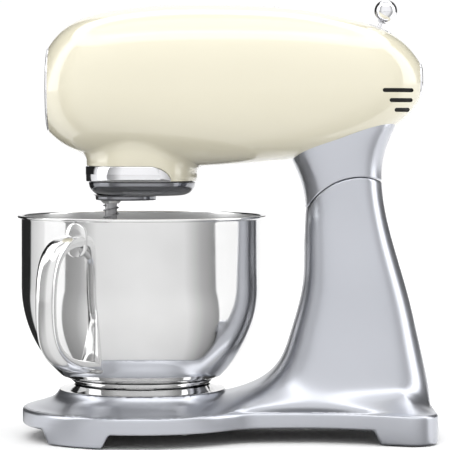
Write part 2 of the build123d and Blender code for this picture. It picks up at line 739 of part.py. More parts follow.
def ring_gear():
    ring = cylinder(47.5, 238.5, 249.0)
    cut = make_face(gear_profile(RING_TEETH, GEAR_M, 180, addendum=1.2, dedendum=0.8, widen=BACKLASH))
    return ring - Pos(0, 0, 237) * extrude(cut, 14)


def bearing(outer, inner, z0, z1, x=0.0):
    return tube(outer, inner + 0.03, z0, z1, x)


def ball_bearings():
    """Main shaft pair, port shaft pair and motor pair."""
    group = bearing(16, MAIN_SHAFT_R, 253.4, 261.4) + bearing(16, MAIN_SHAFT_R, 263, 271)
    group += bearing(11, 4, 290, 297, MOTOR_X) + bearing(11, 4, 379, 386, MOTOR_X)
    for x in (-72, -42):
        group += cylinder_x(16, x, x + 9, 0, PORT_Z) - cylinder_x(8.03, x - 1, x + 10, 0, PORT_Z)
    return group


def idler_axle():
    return cylinder(5.0, 262.0, 297.0, IDLER_X) + cylinder(7.0, 293.6, 295.0, IDLER_X)


def idler_gear():
    gear = spur_gear(IDLER_LARGE_TEETH, GEAR_M, 0, FAST_Z, IDLER_X)
    gear += spur_gear(IDLER_SMALL_TEETH, SLOW_M, 180 + 180 / IDLER_SMALL_TEETH, SLOW_Z, IDLER_X)
    gear += cylinder(10.0, FAST_Z[1] - 1, SLOW_Z[0] + 1, IDLER_X)
    return gear - cylinder(5.05, 250, 300, IDLER_X)


def main_gear():
    gear = spur_gear(MAIN_TEETH, SLOW_M, 0, SLOW_Z)
    gear += cylinder(15, 278, SLOW_Z[0] + 1)
    return gear - cylinder(MAIN_SHAFT_R, 250, 300)


def main_shaft():
    shaft = cylinder(MAIN_SHAFT_R, 224.0, 301.4) + cylinder(BEVEL_BORE_R, 301.0, 307.5)
    return shaft + cylinder(11.0, 273.0, 278.0)


def main_bevel_gear():
    return bevel_wheel(0) - cylinder(BEVEL_BORE_R, 290, 330)


def port_bevel_gear():
    return bevel_wheel(180 / BEVEL_TEETH, mirror_axis=True) - cylinder_x(BEVEL_BORE_R, -40, 0, 0, PORT_Z)


def port_shaft():
    shaft = cylinder_x(8.0, -76, -17.6, 0, PORT_Z) + cylinder_x(BEVEL_BORE_R, -18, -11.5, 0, PORT_Z)
    return shaft - block((-80, -56), (-4.6, 4.6), (PORT_Z - 4.6, PORT_Z + 4.6))


def planet_hub():
    hub = spin_profile([
        (MAIN_SHAFT_R, 224.2), (44.0, 224.2), (46.6, 228.0), (46.8, 233.0), (46.8, 234.7), (14.0, 236.4),
        (11.5, 237.0), (11.5, 250.5), (MAIN_SHAFT_R, 250.5),
    ])
    return hub - cylinder(8.5, 220, 245, -ORBIT_R)


def planet_hub_cover():
    """Polished cap under the hub with its offset boss."""
    outer = xz_face([
        Line((0, HUB_BOTTOM), (HUB_R - 12.5, HUB_BOTTOM)),
        ThreePointArc((HUB_R - 12.5, HUB_BOTTOM), (HUB_R - 3.66, HUB_BOTTOM + 3.4), (HUB_R, HUB_BOTTOM + 11.5)),
        Line((HUB_R, HUB_BOTTOM + 11.5), (HUB_R, HUB_TOP)),
        Line((HUB_R, HUB_TOP), (47.0, HUB_TOP)),
        Line((47.0, HUB_TOP), (47.0, 228.0)),
        Line((47.0, 228.0), (44.2, 224.0)),
        Line((44.2, 224.0), (0, 224.0)),
        Line((0, 224.0), (0, HUB_BOTTOM)),
    ])
    cover = revolve(outer, Axis.Z)
    boss = cylinder(28.0, 217.4, HUB_BOTTOM + 1.0, -14.8)
    boss = fillet(boss.edges().group_by(Axis.Z)[0], 1.6)
    cover += boss
    return cover - cylinder(8.5, 210, 230, -ORBIT_R)


def planet_bushes():
    bush = tube(8.5, TOOL_SHAFT_R + 0.05, 217.6, 236.0, -ORBIT_R)
    return bush


def tool_shaft():
    shaft = cylinder(TOOL_SHAFT_R, TOOL_TIP_Z, 249.5, -ORBIT_R)
    shaft = chamfer(shaft.edges().group_by(Axis.Z)[0], 1.2)
    return shaft - cylinder_y(TOOL_PIN_R, -20, 20, -ORBIT_R, TOOL_PIN_Z)


def tool_pin():
    pin = cylinder_y(TOOL_PIN_R, -9.5, 9.5, -ORBIT_R, TOOL_PIN_Z)
    return chamfer(pin.edges().group_by(Axis.Y)[0] + pin.edges().group_by(Axis.Y)[-1], 0.5)


def tool_collar():
    profile = [(TOOL_SHAFT_R, 214.2), (7.2, 214.2), (9.9, 217.2), (TOOL_SHAFT_R, 217.2)]
    cone = Pos(-ORBIT_R, 0, 0) * spin_profile(profile)
    return cone


def planet_gear():
    gear = spur_gear(PLANET_TEETH, GEAR_M, 180, PLANET_Z)
    return Pos(-ORBIT_R, 0, 0) * (gear - cylinder(TOOL_SHAFT_R, 230, 255))


def tool_spring():
    """Loose return spring round the tool shaft."""
    helix = Helix(pitch=7.2, height=25.0, radius=6.7, center=(-ORBIT_R, 0, 188.4))
    return sweep(Plane(origin=helix @ 0, z_dir=helix % 0) * Circle(0.6), helix, is_frenet=True)


# ---------------------------------------------------------------- motor
def motor_stator():
    core = tube(44.0, 26.7, 324, 360, MOTOR_X)
    for k in range(6):
        a = math.radians(15 + 60 * k)
        core -= cylinder(4.2, 320, 365, MOTOR_X + 34 * math.cos(a), 34 * math.sin(a))
    return core


def stator_windings():
    ends = tube(38, 28.5, 316, 324, MOTOR_X) + tube(38, 28.5, 360, 367, MOTOR_X)
    return ends


def motor_lower_bracket():
    plate = cylinder(45, MOTOR_FLOOR, MOTOR_FLOOR + 4, MOTOR_X) + cylinder(13.5, 288.5, MOTOR_FLOOR, MOTOR_X)
    for degrees in (20, 160, 200, 340):
        a = math.radians(degrees)
        plate += cylinder(2.6, MOTOR_FLOOR + 3, 324, MOTOR_X + 41 * math.cos(a), 41 * math.sin(a))
    for k in range(6):
        a = math.radians(60 * k)
        plate -= cylinder(6, 290, 310, MOTOR_X + 27 * math.cos(a), 27 * math.sin(a))
    for x, y in motor_posts():
        plate += cylinder(6.0, MOTOR_FLOOR, MOTOR_FLOOR + 4, x, y)
        plate -= cylinder(2.0, 290, 310, x, y)
    return plate - cylinder(11, 289.9, 310, MOTOR_X) - cylinder(6, 280, 310, MOTOR_X)


def motor_upper_bracket():
    arms = block((MOTOR_X - 43.5, MOTOR_X + 43.5), (-7, 7), (377.9, 381.0))
    arms += block((MOTOR_X - 9, MOTOR_X + 9), (-31, 31), (377.9, 381.0))
    arms += cylinder(14, 377.9, 387.5, MOTOR_X)
    for side in (-1, 1):
        arms += cylinder(2.6, 360, 379, MOTOR_X + side * 40.8)
    return arms - cylinder(11, 379, 386, MOTOR_X) - cylinder(6, 370, 386.5, MOTOR_X)


def brush_holders():
    group = None
    for side in (-1, 1):
        y0, y1 = sorted((side * 13.0, side * 30.0))
        one = block((MOTOR_X - 6, MOTOR_X + 6), (y0, y1), (368, 377.8))
        one -= block((MOTOR_X - 3.5, MOTOR_X + 3.5), (y0 - 2, y1 + 2), (370, 376))
        group = one if group is None else group + one
    return group


def carbon_brushes():
    group = None
    for side in (-1, 1):
        y0, y1 = sorted((side * 11.4, side * 27.0))
        one = block((MOTOR_X - 3.5, MOTOR_X + 3.5), (y0, y1), (370, 376))
        group = one if group is None else group + one
    return group


def rotor_shaft():
    return cylinder(4.0, 270.5, 385.5, MOTOR_X)


def motor_pinion():
    return spur_gear(PINION_TEETH, GEAR_M, 180 + 180 / PINION_TEETH, (271.5, 281.0), MOTOR_X, bore=4.0)


def cooling_fan():
    hub = tube(9, 4.0, 304.5, 314, MOTOR_X) + tube(36, 8, 304.5, 305.7, MOTOR_X)
    for k in range(11):
        blade = block((8, 35.5), (-0.7, 0.7), (305, 314))
        hub += Pos(MOTOR_X, 0, 0) * (Rot(0, 0, 360 * k / 11) * blade)
    return hub


def rotor_core():
    core = cylinder(26.0, 326, 358, MOTOR_X)
    for k in range(12):
        a = math.radians(30 * k)
        core -= cylinder(2.6, 320, 365, MOTOR_X + 23.6 * math.cos(a), 23.6 * math.sin(a))
    core += cylinder(19, 318, 366, MOTOR_X)
    return core - cylinder(4.0, 310, 370, MOTOR_X)


def commutator():
    drum = cylinder(11.0, 367.0, 377.0, MOTOR_X)
    for k in range(12):
        bar = block((10.2, 12), (-0.35, 0.35), (366, 378))
        drum -= Pos(MOTOR_X, 0, 0) * (Rot(0, 0, 30 * k) * bar)
    return drum - cylinder(4.0, 360, 380, MOTOR_X)


def head_screws():
    """Motor bracket screws and ring gear screws."""
    group = None
    for x, y in motor_posts():
        one = screw(9.0, MOTOR_FLOOR + 4, x, y, head_r=3.8, shank_r=2.0)
        group = one if group is None else group + one
    return group


# ---------------------------------------------------------------- lever, button, latch, front cap
def on_track(solid):
    """Stands a solid made along +Z from the track's far centre up at the lever's resting angle."""
    return Pos(TRACK_CENTRE[0], 0, TRACK_CENTRE[1]) * (Rot(0, LEVER_LEAN, 0) * solid)


def lever_stem():
    return on_track(cylinder(1.9, TRACK_R - 6.5, TRACK_R + 15))


def lever_ball():
    ball = Pos(0, 0, TRACK_R + 17.4) * Sphere(BALL_R)
    ball += cylinder(4.0, TRACK_R + 5.8, TRACK_R + 9)
    return on_track(ball - cylinder(1.9, TRACK_R - 10, TRACK_R + 15))


def lever_shoe():
    shoe = block((-7, 7), (-4.4, 4.4), (TRACK_R - 10, TRACK_R - 5))
    return on_track(shoe - cylinder(1.9, TRACK_R - 6.5, TRACK_R + 10))


def release_button():
    head = spin_profile([
        (0, 0), (REAR_CAP_R, 0), (REAR_CAP_R, 6.6), (REAR_CAP_R - 1.2, 7.8), (10.0, 9.2), (0, 9.8),
    ])
    button = Pos(248.0, 0, REAR_CAP_Z) * (Rot(0, 90, 0) * head)
    return button + cylinder_x(3.0, 181.0, 249.0, 0, REAR_CAP_Z)


def button_guide():
    guide = cylinder_x(19.4, 230, 252, 0, REAR_CAP_Z) - cylinder_x(REAR_CAP_R + 0.5, 233, 260, 0, REAR_CAP_Z)
    guide = guide & head_solid(-WALL)
    return guide - cylinder_x(3.3, 200, 260, 0, REAR_CAP_Z)


def latch_hook():
    """Two-armed lever: the upper arm is pushed by the button's rod, the lower nose reaches the keeper."""
    arm = plate_y([
        (180.4, 332), (174, 332), (171, 258), (166, 226), (161, 219), (163, 215.5), (171, 218), (180, 254),
    ], -3.6, 3.6)
    arm += cylinder_y(6.5, -4.6, 4.6, *LATCH_PIVOT)
    return arm - cylinder_y(LATCH_PIN_R + 0.05, -10, 10, *LATCH_PIVOT)


def latch_pivot_pin():
    return cylinder_y(LATCH_PIN_R, -LUG[1], LUG[1], *LATCH_PIVOT)


def front_port_bezel():
    return cylinder_x(24.0, -81.5, -79.0, 0, PORT_Z) - cylinder_x(18.6, -83, -70, 0, PORT_Z)


def front_port_cap():
    face = spin_profile([(0, 0), (PORT_R, 0), (PORT_R, 1.6), (PORT_R - 1.0, 2.4), (26.0, 3.1), (0, 3.4)])
    plug = cylinder(17.5, -4.2, 0.5) - cylinder(14.5, -10, -0.2)
    cap = Rot(0, -90, 0) * (face + plug)
    return Pos(HEAD_FRONT, 0, PORT_Z) * cap


def neck_cover(neck_outside, neck_inside, outside):
    cover = neck_outside - neck_inside
    cover &= block((100, 300), (-100, 100), (HINGE[1], 310))
    cover -= about_hinge(SEAM_R)
    return cover - outside


# ---------------------------------------------------------------- write the nodes
def build_parts():
    outside, inside = head_solid(0.0), head_solid(-WALL)
    neck_outside, neck_inside = pillar_solid(0.0), pillar_solid(-WALL)
    return {
        "stand_casting": stand_casting(),
        "base_cover": base_cover(),
        "rubber_feet": rubber_feet(),
        "stand_screws": stand_screws(),
        "bowl_seat_ring": bowl_seat_ring(),
        "bowl_lock_plate": bowl_lock_plate(),
        "hinge_bracket": hinge_bracket(),
        "hinge_pin": hinge_pin(),
        "latch_keeper": latch_keeper(),
        "control_board": control_board(),
        "cord_gland": cord_gland(),
        "bowl_shell": bowl_shell(),
        "bowl_handle": bowl_handle(),
        "bowl_foot": bowl_foot(),
        "head_shell": head_shell(outside, inside, neck_inside),
        "neck_cover": neck_cover(neck_outside, neck_inside, outside),
        "head_frame": head_frame(inside),
        "hub_band": hub_band(),
        "front_port_bezel": front_port_bezel(),
        "vent_baffles": vent_baffles(inside),
        "speed_scale_strip": speed_scale_strip(outside),
        "lever_guide": lever_guide(inside),
        "ring_gear": ring_gear(),
        "ball_bearings": ball_bearings(),
        "idler_axle": idler_axle(),
        "motor_stator": motor_stator(),
        "stator_windings": stator_windings(),
        "motor_lower_bracket": motor_lower_bracket(),
        "motor_upper_bracket": motor_upper_bracket(),
        "brush_holders": brush_holders(),
        "carbon_brushes": carbon_brushes(),
        "head_screws": head_screws(),
        "button_guide": button_guide(),
        "hinge_bushes": hinge_bushes(),
        "latch_pivot_pin": latch_pivot_pin(),
        "planet_hub": planet_hub(),
        "planet_hub_cover": planet_hub_cover(),
        "planet_bushes": planet_bushes(),
        "main_shaft": main_shaft(),
        "main_gear": main_gear(),
        "main_bevel_gear": main_bevel_gear(),
        "tool_shaft": tool_shaft(),
        "tool_pin": tool_pin(),
        "tool_collar": tool_collar(),
        "tool_spring": tool_spring(),
        "planet_gear": planet_gear(),
        "idler_gear": idler_gear(),
        "rotor_shaft": rotor_shaft(),
        "rotor_core": rotor_core(),
        "commutator": commutator(),
        "cooling_fan": cooling_fan(),
        "motor_pinion": motor_pinion(),
        "port_shaft": port_shaft(),
        "port_bevel_gear": port_bevel_gear(),
        "lever_stem": lever_stem(),
        "lever_ball": lever_ball(),
        "lever_shoe": lever_shoe(),
        "release_button": release_button(),
        "latch_hook": latch_hook(),
        "front_port_cap": front_port_cap(),
    }


os.makedirs("parts", exist_ok=True)
PARTS = build_parts()
for name, solid in PARTS.items():
    export_step(solid, f"parts/{name}.step")
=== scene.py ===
"""Looks for a tilt-head stand mixer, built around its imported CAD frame.

Shapes are in millimetres in the frame's own axes: +Z up, the bowl's axis is Z, the front is -X.
Each new piece is a surface worked out on a grid of two parameters.
"""
import json
import math

import bmesh
import bpy
import numpy as np
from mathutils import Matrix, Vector


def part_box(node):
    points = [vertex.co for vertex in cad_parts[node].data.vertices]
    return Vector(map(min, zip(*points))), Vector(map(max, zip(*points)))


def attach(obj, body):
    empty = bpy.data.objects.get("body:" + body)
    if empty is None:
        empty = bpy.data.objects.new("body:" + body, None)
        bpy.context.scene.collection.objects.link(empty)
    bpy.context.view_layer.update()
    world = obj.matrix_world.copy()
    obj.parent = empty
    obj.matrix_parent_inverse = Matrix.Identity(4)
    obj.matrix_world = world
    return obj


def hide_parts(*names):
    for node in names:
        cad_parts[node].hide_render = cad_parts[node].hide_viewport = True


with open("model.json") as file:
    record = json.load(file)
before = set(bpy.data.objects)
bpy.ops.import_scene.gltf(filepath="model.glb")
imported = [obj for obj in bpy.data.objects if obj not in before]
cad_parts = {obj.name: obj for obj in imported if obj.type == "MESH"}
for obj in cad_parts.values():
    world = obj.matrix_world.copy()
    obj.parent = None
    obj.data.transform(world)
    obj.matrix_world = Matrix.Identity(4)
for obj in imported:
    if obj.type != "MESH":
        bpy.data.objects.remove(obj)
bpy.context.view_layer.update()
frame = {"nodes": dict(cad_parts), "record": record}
MM = 0.001


# ---------------------------------------------------------------- driving sizes, from the frame
def low_high(node):
    """A CAD node's box in millimetres, as two arrays."""
    low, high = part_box(node)
    return np.array(low) / MM, np.array(high) / MM


HEAD_LOW, HEAD_HIGH = low_high("head_shell")
BOWL_LOW, BOWL_HIGH = low_high("bowl_shell")
HEAD_FRONT, HEAD_REAR = HEAD_LOW[0], HEAD_HIGH[0]
RIM_R, RIM_Z = BOWL_HIGH[0], BOWL_HIGH[2]
PIN_LOW, PIN_HIGH = low_high("hinge_pin")
HINGE_X, HINGE_Z = (PIN_LOW[0] + PIN_HIGH[0]) / 2, (PIN_LOW[2] + PIN_HIGH[2]) / 2
SEAM_R = 54.4
SHELL_WALL = 2.6
ORBIT_R = 28.5
PORT_Z = 319.0
REAR_BUTTON_Z = 326.7
VENT_HIGH = 3.7
VENTS = [(218.5, 247.6, 318.0), (225.0, 247.2, 309.0), (230.0, 244.8, 300.2)]
SKIRT_R = 51.0
BOWL_R = 111.3
BOWL_WALL = 1.2
DOME_Z = 140.0
PAD_TOP = 43.9
SKIRT_TOP = 27.5
HOUSING_FILLET = 6.5
COLUMN_WALL = 4.0
CELL = 2.0
BAND_TOP, BAND_BOTTOM = 249.1, 235.0

# head outline: X, top Z, bottom Z, half width, squareness of the section
HEAD_SECTIONS = np.array([
    (-84.5, 360.0, 279.0, 40.5, 2.0),
    (-80.0, 365.2, 274.6, 45.5, 2.1),
    (-72.0, 374.3, 268.6, 52.0, 2.2),
    (-60.0, 381.3, 262.4, 57.5, 2.3),
    (-44.0, 387.0, 257.4, 61.8, 2.4),
    (-20.0, 391.8, 252.8, 65.3, 2.45),
    (15.0, 395.4, 249.3, 67.0, 2.5),
    (60.0, 396.4, 248.4, 66.8, 2.5),
    (105.0, 395.3, 251.8, 64.5, 2.5),
    (150.0, 391.3, 256.2, 60.0, 2.45),
    (185.0, 385.0, 264.3, 54.3, 2.4),
    (213.0, 376.8, 274.8, 47.0, 2.3),
    (232.0, 368.3, 284.7, 39.3, 2.2),
    (246.0, 355.9, 297.3, 29.0, 2.1),
    (254.5, 344.8, 308.6, 18.5, 2.0),
])

# column and neck: Z, front X, rear X, half width
PILLAR_SECTIONS = np.array([
    (27.0, 60.0, 264.5, 78.0),
    (33.0, 72.0, 264.5, 66.5),
    (39.0, 84.0, 264.3, 59.5),
    (46.0, 98.0, 263.6, 55.5),
    (55.5, 114.5, 262.0, 52.5),
    (70.0, 126.5, 258.5, 49.5),
    (92.0, 136.0, 254.0, 46.5),
    (125.0, 145.3, 245.8, 43.5),
    (160.0, 149.2, 236.2, 41.0),
    (190.0, 149.8, 227.3, 39.0),
    (215.0, 150.6, 222.3, 38.0),
    (235.0, 146.2, 220.0, 37.8),
    (252.0, 139.6, 220.9, 38.0),
    (268.0, 133.5, 225.0, 37.5),
    (287.0, 127.0, 233.0, 35.0),
])
PILLAR_POWER = 2.9
PILLAR_TOP = 289.0
PATTERN_SPAN = (0.3, 0.7)

# studio: brightness by direction in degrees (0 is towards the camera), and the bright ring above
WALLS = [
    (-180, 1.0), (-166, 1.0), (-162, 0.02), (-116, 0.02), (-110, 0.75), (-102, 0.95), (-101, 2.6),
    (-74, 2.6), (-73.5, 0.40), (-58, 0.66), (-41, 1.08), (0, 1.12), (41, 1.08), (58, 0.66), (73.5, 0.40),
    (74, 2.6), (104, 2.6), (106, 0.5), (112, 0.12), (160, 0.06), (165, 1.0), (180, 1.0),
]
# floor colour by direction, seen only in reflections and bounce light: painted shade, greyer in front of the
# mixer and nearly black in one sector at the back
FLOOR_PAINTED_SHADE = [
    (-180, 0.9), (-162, 0.9), (-158, 0.02), (-128, 0.02), (-125, 0.6), (-102, 0.8), (-101, 0.95),
    (-74, 0.95), (-73.5, 0.26), (-58, 0.36), (-41, 0.72), (0, 0.77), (41, 0.72), (58, 0.42),
    (73.5, 0.26), (74, 0.95), (180, 0.9),
]
RAMP_TOP = 4.0
FLOOR_R = 7.0
RING_FROM = (47.0, 49.5)
ROOF_FROM = (62.0, 70.0)
RING_LIGHT = 2.4
ROOF_LIGHT = 0.6
STUDIO_AIM = (0.08, 0, 0.22)

CAMERA_PLACE = (0.0764, -2.3, 0.291)
CAMERA_AIM = (0.0764, 0.0, 0.1944)


# ---------------------------------------------------------------- number tools
def fitted(table, column, order):
    """A smooth polynomial in the table's first column that follows one of its other columns."""
    return np.polynomial.Chebyshev.fit(table[:, 0], table[:, column], order)


HEAD_TOP, HEAD_BOTTOM, HEAD_HALF, HEAD_POWER = (fitted(HEAD_SECTIONS, c, 9) for c in (1, 2, 3, 4))
PILLAR_FRONT, PILLAR_REAR, PILLAR_HALF = (fitted(PILLAR_SECTIONS, c, 9) for c in (1, 2, 3))


def end_spaced(low, high, count):
    """Values from low to high, closer together towards both ends."""
    return (low + high) / 2 - (high - low) / 2 * np.cos(np.linspace(0, math.pi, count))


def superellipse(angle, half_a, half_b, power):
    """Point of a superellipse at a polar angle: radius = (|cos/a|^n + |sin/b|^n)^(-1/n)."""
    c, s = np.cos(angle), np.sin(angle)
    radius = (np.abs(c / half_a) ** power + np.abs(s / half_b) ** power) ** (-1 / power)
    return radius * c, radius * s


def rounded(corners, steps=5):
    """An open profile with round corners. Each corner is (r, z, radius)."""
    points = np.array([c[:2] for c in corners], float)
    out = [points[:1]]
    for k in range(1, len(points) - 1):
        radius = corners[k][2]
        a, p, b = points[k - 1], points[k], points[k + 1]
        if radius <= 0:
            out.append(p[None])
            continue
        u, v = (a - p) / np.linalg.norm(a - p), (b - p) / np.linalg.norm(b - p)
        half = math.acos(np.clip(np.dot(u, v), -1, 1)) / 2
        reach = min(radius / math.tan(half), 0.49 * np.linalg.norm(a - p), 0.49 * np.linalg.norm(b - p))
        t = np.linspace(0, 1, steps)[:, None]
        start, end = p + u * reach, p + v * reach
        out.append((1 - t) ** 2 * start + 2 * t * (1 - t) * p + t ** 2 * end)
    out.append(points[-1:])
    return np.concatenate(out)


def smooth_min(a, b, k):
    """Blends two distance fields with a fillet about k wide."""
    h = np.clip(0.5 + 0.5 * (b - a) / k, 0, 1)
    return b * (1 - h) + a * h - k * h * (1 - h)


def round_and(a, b, radius):
    """The overlap of two distance fields with a round outer edge."""
    outside = np.hypot(np.maximum(a + radius, 0), np.maximum(b + radius, 0))
    return np.minimum(np.maximum(a, b), -radius) + outside


# ---------------------------------------------------------------- mesh tools
def placed(name, data):
    """A new object in the scene."""
    piece = bpy.data.objects.new(name, data)
    bpy.context.scene.collection.objects.link(piece)
    return piece


def mesh_object(name, points, faces, material, sharp=40):
    """A mesh object from points in millimetres, with doubles merged and faces turned outwards."""
    mesh = bpy.data.meshes.new(name)
    mesh.from_pydata((np.asarray(points, float) * MM).tolist(), [], faces)
    work = bmesh.new()
    work.from_mesh(mesh)
    bmesh.ops.remove_doubles(work, verts=work.verts, dist=1e-6)
    bmesh.ops.dissolve_degenerate(work, edges=work.edges, dist=1e-7)
    bmesh.ops.recalc_face_normals(work, faces=work.faces)
    work.to_mesh(mesh)
    work.free()
    mesh.materials.append(material)
    mesh.polygons.foreach_set("use_smooth", np.ones(len(mesh.polygons), bool))
    mesh.set_sharp_from_angle(angle=math.radians(sharp))
    return placed(name, mesh)


def grid_faces(rows, columns, loop_rows, loop_columns, first=0):
    """Quads of a grid of points, optionally closed on itself either way."""
    index = first + np.arange(rows * columns).reshape(rows, columns)
    if loop_rows:
        index = np.vstack([index, index[:1]])
    if loop_columns:
        index = np.hstack([index, index[:, :1]])
    quads = np.stack([index[:-1, :-1], index[1:, :-1], index[1:, 1:], index[:-1, 1:]], -1)
    return quads.reshape(-1, 4).tolist()


def grid_piece(name, grid, material, loop_rows=False, loop_columns=True, caps=False, sharp=40):
    """One closed surface from a grid of points. Caps close the first and last rows to their middles."""
    rows, columns = grid.shape[:2]
    points = grid.reshape(-1, 3)
    faces = grid_faces(rows, columns, loop_rows, loop_columns)
    if caps:
        points = np.vstack([points, grid[0].mean(0), grid[-1].mean(0)])
        ring = np.arange(columns)
        after = np.roll(ring, -1)
        start, end = rows * columns, rows * columns + 1
        faces += np.stack([after, ring, np.full(columns, start)], 1).tolist()
        base = (rows - 1) * columns
        faces += np.stack([base + ring, base + after, np.full(columns, end)], 1).tolist()
    return mesh_object(name, points, faces, material, sharp)


def lathe_grid(profile, segments, axis="Z", centre=(0, 0, 0)):
    """A profile of (radius, height) carried round an axis."""
    angle = np.linspace(0, 2 * math.pi, segments, endpoint=False)
    r, h = profile[:, :1], np.repeat(profile[:, 1:], segments, 1)
    a, b = r * np.cos(angle), r * np.sin(angle)
    order = {"Z": (a, b, h), "X": (-h, a, b), "Y": (a, h, b)}[axis]
    return np.stack(order, -1) + np.array(centre, float)


def lathe(name, profile, material, segments=128, axis="Z", centre=(0, 0, 0), closed=False, sharp=40):
    """A turned piece. Its profile starts and ends on the axis, or closes on itself."""
    grid = lathe_grid(np.asarray(profile, float), segments, axis, centre)
    return grid_piece(name, grid, material, loop_rows=closed, sharp=sharp)


def joined(name, pieces):
    """One object from several."""
    bpy.ops.object.select_all(action="DESELECT")
    for piece in pieces:
        piece.select_set(True)
    bpy.context.view_layer.objects.active = pieces[0]
    bpy.ops.object.join()
    pieces[0].name = name
    pieces[0].data.name = name
    return pieces[0]


def curve_frames(path):
    """Unit tangents of a path of points."""
    tangent = np.gradient(path, axis=0)
    return tangent / np.linalg.norm(tangent, axis=1, keepdims=True)


def smooth_path(knots, count):
    """A smooth curve through given points: a natural cubic spline along their chord length."""
    knots = np.asarray(knots, float)
    chord = np.concatenate([[0], np.cumsum(np.linalg.norm(np.diff(knots, axis=0), axis=1))])
    n = len(knots)
    step = np.diff(chord)
    system, right = np.eye(n), np.zeros_like(knots)
    for k in range(1, n - 1):
        system[k, k - 1:k + 2] = step[k - 1], 2 * (step[k - 1] + step[k]), step[k]
        right[k] = 6 * ((knots[k + 1] - knots[k]) / step[k] - (knots[k] - knots[k - 1]) / step[k - 1])
    bend = np.linalg.solve(system, right)
    at = np.linspace(0, chord[-1], count)
    k = np.clip(np.searchsorted(chord, at, side="right") - 1, 0, n - 2)
    h, a, b = step[k][:, None], (chord[k + 1] - at)[:, None], (at - chord[k])[:, None]
    return (
        bend[k] * a ** 3 / (6 * h) + bend[k + 1] * b ** 3 / (6 * h)
        + (knots[k] / h - bend[k] * h / 6) * a + (knots[k + 1] / h - bend[k + 1] * h / 6) * b
    )


# ---------------------------------------------------------------- materials
def new_material(name, base, metallic, roughness, **extra):
    """A principled material. Returns it with its nodes, links and shader."""
    material = bpy.data.materials.new(name)
    material.use_nodes = True
    nodes, links = material.node_tree.nodes, material.node_tree.links
    shader = nodes["Principled BSDF"]
    shader.inputs["Base Color"].default_value = (*base, 1)
    shader.inputs["Metallic"].default_value = metallic
    shader.inputs["Roughness"].default_value = roughness
    for key, value in extra.items():
        shader.inputs[key.replace("_", " ")].default_value = value
    return material, nodes, links, shader


def noise(nodes, links, scale, detail=3.0, stretch=(1, 1, 1)):
    """Noise over Object coordinates, with its pattern stretched along the axes."""
    place = nodes.new("ShaderNodeTexCoord")
    mapping = nodes.new("ShaderNodeMapping")
    mapping.inputs["Scale"].default_value = stretch
    pattern = nodes.new("ShaderNodeTexNoise")
    pattern.inputs["Scale"].default_value = scale
    pattern.inputs["Detail"].default_value = detail
    links.new(place.outputs["Object"], mapping.inputs["Vector"])
    links.new(mapping.outputs["Vector"], pattern.inputs["Vector"])
    return pattern.outputs["Fac"]


def ranged(nodes, links, source, span, low=0.0, high=1.0, blend="LINEAR"):
    """Maps a span of values onto low to high."""
    node = nodes.new("ShaderNodeMapRange")
    node.interpolation_type = blend
    for key, value in zip(("From Min", "From Max", "To Min", "To Max"), (*span, low, high)):
        node.inputs[key].default_value = value
    links.new(source, node.inputs["Value"])
    return node.outputs["Result"]


def tinted(nodes, links, source, dark, light, target):
    """Colour that drifts between two tones with a pattern."""
    ramp = nodes.new("ShaderNodeValToRGB")
    for element, position, tone in zip(ramp.color_ramp.elements, PATTERN_SPAN, (dark, light)):
        element.position = position
        element.color = (*tone, 1)
    links.new(source, ramp.inputs["Fac"])
    links.new(ramp.outputs["Color"], target)


def bumped(nodes, links, shader, source, strength, distance):
    """Fine relief from a pattern."""
    bump = nodes.new("ShaderNodeBump")
    bump.inputs["Strength"].default_value = strength
    bump.inputs["Distance"].default_value = distance
    links.new(source, bump.inputs["Height"])
    links.new(bump.outputs["Normal"], shader.inputs["Normal"])


def surface_material(name, dark, light, metallic, rough, drift=12, grain=400, relief=0.1, depth=0.00005,
                     stretch=(1, 1, 1), **extra):
    """A finish whose colour drifts slowly, whose roughness varies, and which has a fine relief.

    drift and grain are the scales of the colour's pattern and of the relief's pattern.
    """
    material, nodes, links, shader = new_material(name, light, metallic, rough[0], **extra)
    tinted(nodes, links, noise(nodes, links, drift, 2), dark, light, shader.inputs["Base Color"])
    fine = noise(nodes, links, grain, 4, stretch)
    uneven = noise(nodes, links, drift * 3, 4, stretch)
    links.new(ranged(nodes, links, uneven, PATTERN_SPAN, *rough), shader.inputs["Roughness"])
    bumped(nodes, links, shader, fine, relief, depth)
    return material


CREAM = surface_material(
    "cream_enamel", (0.795, 0.750, 0.582), (0.815, 0.770, 0.605), 0.0, (0.16, 0.22), 6, 900, 0.04, 0.00002,
    Coat_Weight=1.0, Coat_Roughness=0.06, Coat_IOR=1.7)
SILVER = surface_material(
    "satin_silver", (0.515, 0.530, 0.575), (0.535, 0.550, 0.595), 0.94, (0.28, 0.31), 10, 2600, 0.01,
    0.00001, Coat_Weight=0.3, Coat_Roughness=0.22)
STEEL = surface_material(
    "polished_steel", (0.74, 0.74, 0.74), (0.79, 0.79, 0.79), 1.0, (0.045, 0.085), 20, 600, 0.02, 0.00002)
SATIN_STEEL = surface_material(
    "satin_steel", (0.68, 0.68, 0.68), (0.74, 0.74, 0.74), 1.0, (0.30, 0.38), 20, 900, 0.05, 0.00002,
    stretch=(1, 1, 8))
CHROME = surface_material(
    "bright_chrome", (0.80, 0.80, 0.82), (0.86, 0.86, 0.88), 1.0, (0.03, 0.06), 25, 500, 0.01, 0.00001)
DARK_CHROME = surface_material(
    "dark_chrome", (0.23, 0.235, 0.255), (0.27, 0.275, 0.295), 1.0, (0.12, 0.16), 25, 900, 0.02, 0.00001,
    Coat_Weight=0.3, Coat_Roughness=0.08)
HANDLE_STEEL = surface_material(
    "handle_steel", (0.74, 0.74, 0.74), (0.79, 0.79, 0.79), 1.0, (0.10, 0.14), 20, 600, 0.02, 0.00001)
BLACK = surface_material(
    "black_plastic", (0.008, 0.008, 0.009), (0.014, 0.014, 0.015), 0.0, (0.50, 0.62), 40, 1500, 0.35,
    0.00005, Specular_IOR_Level=0.25)
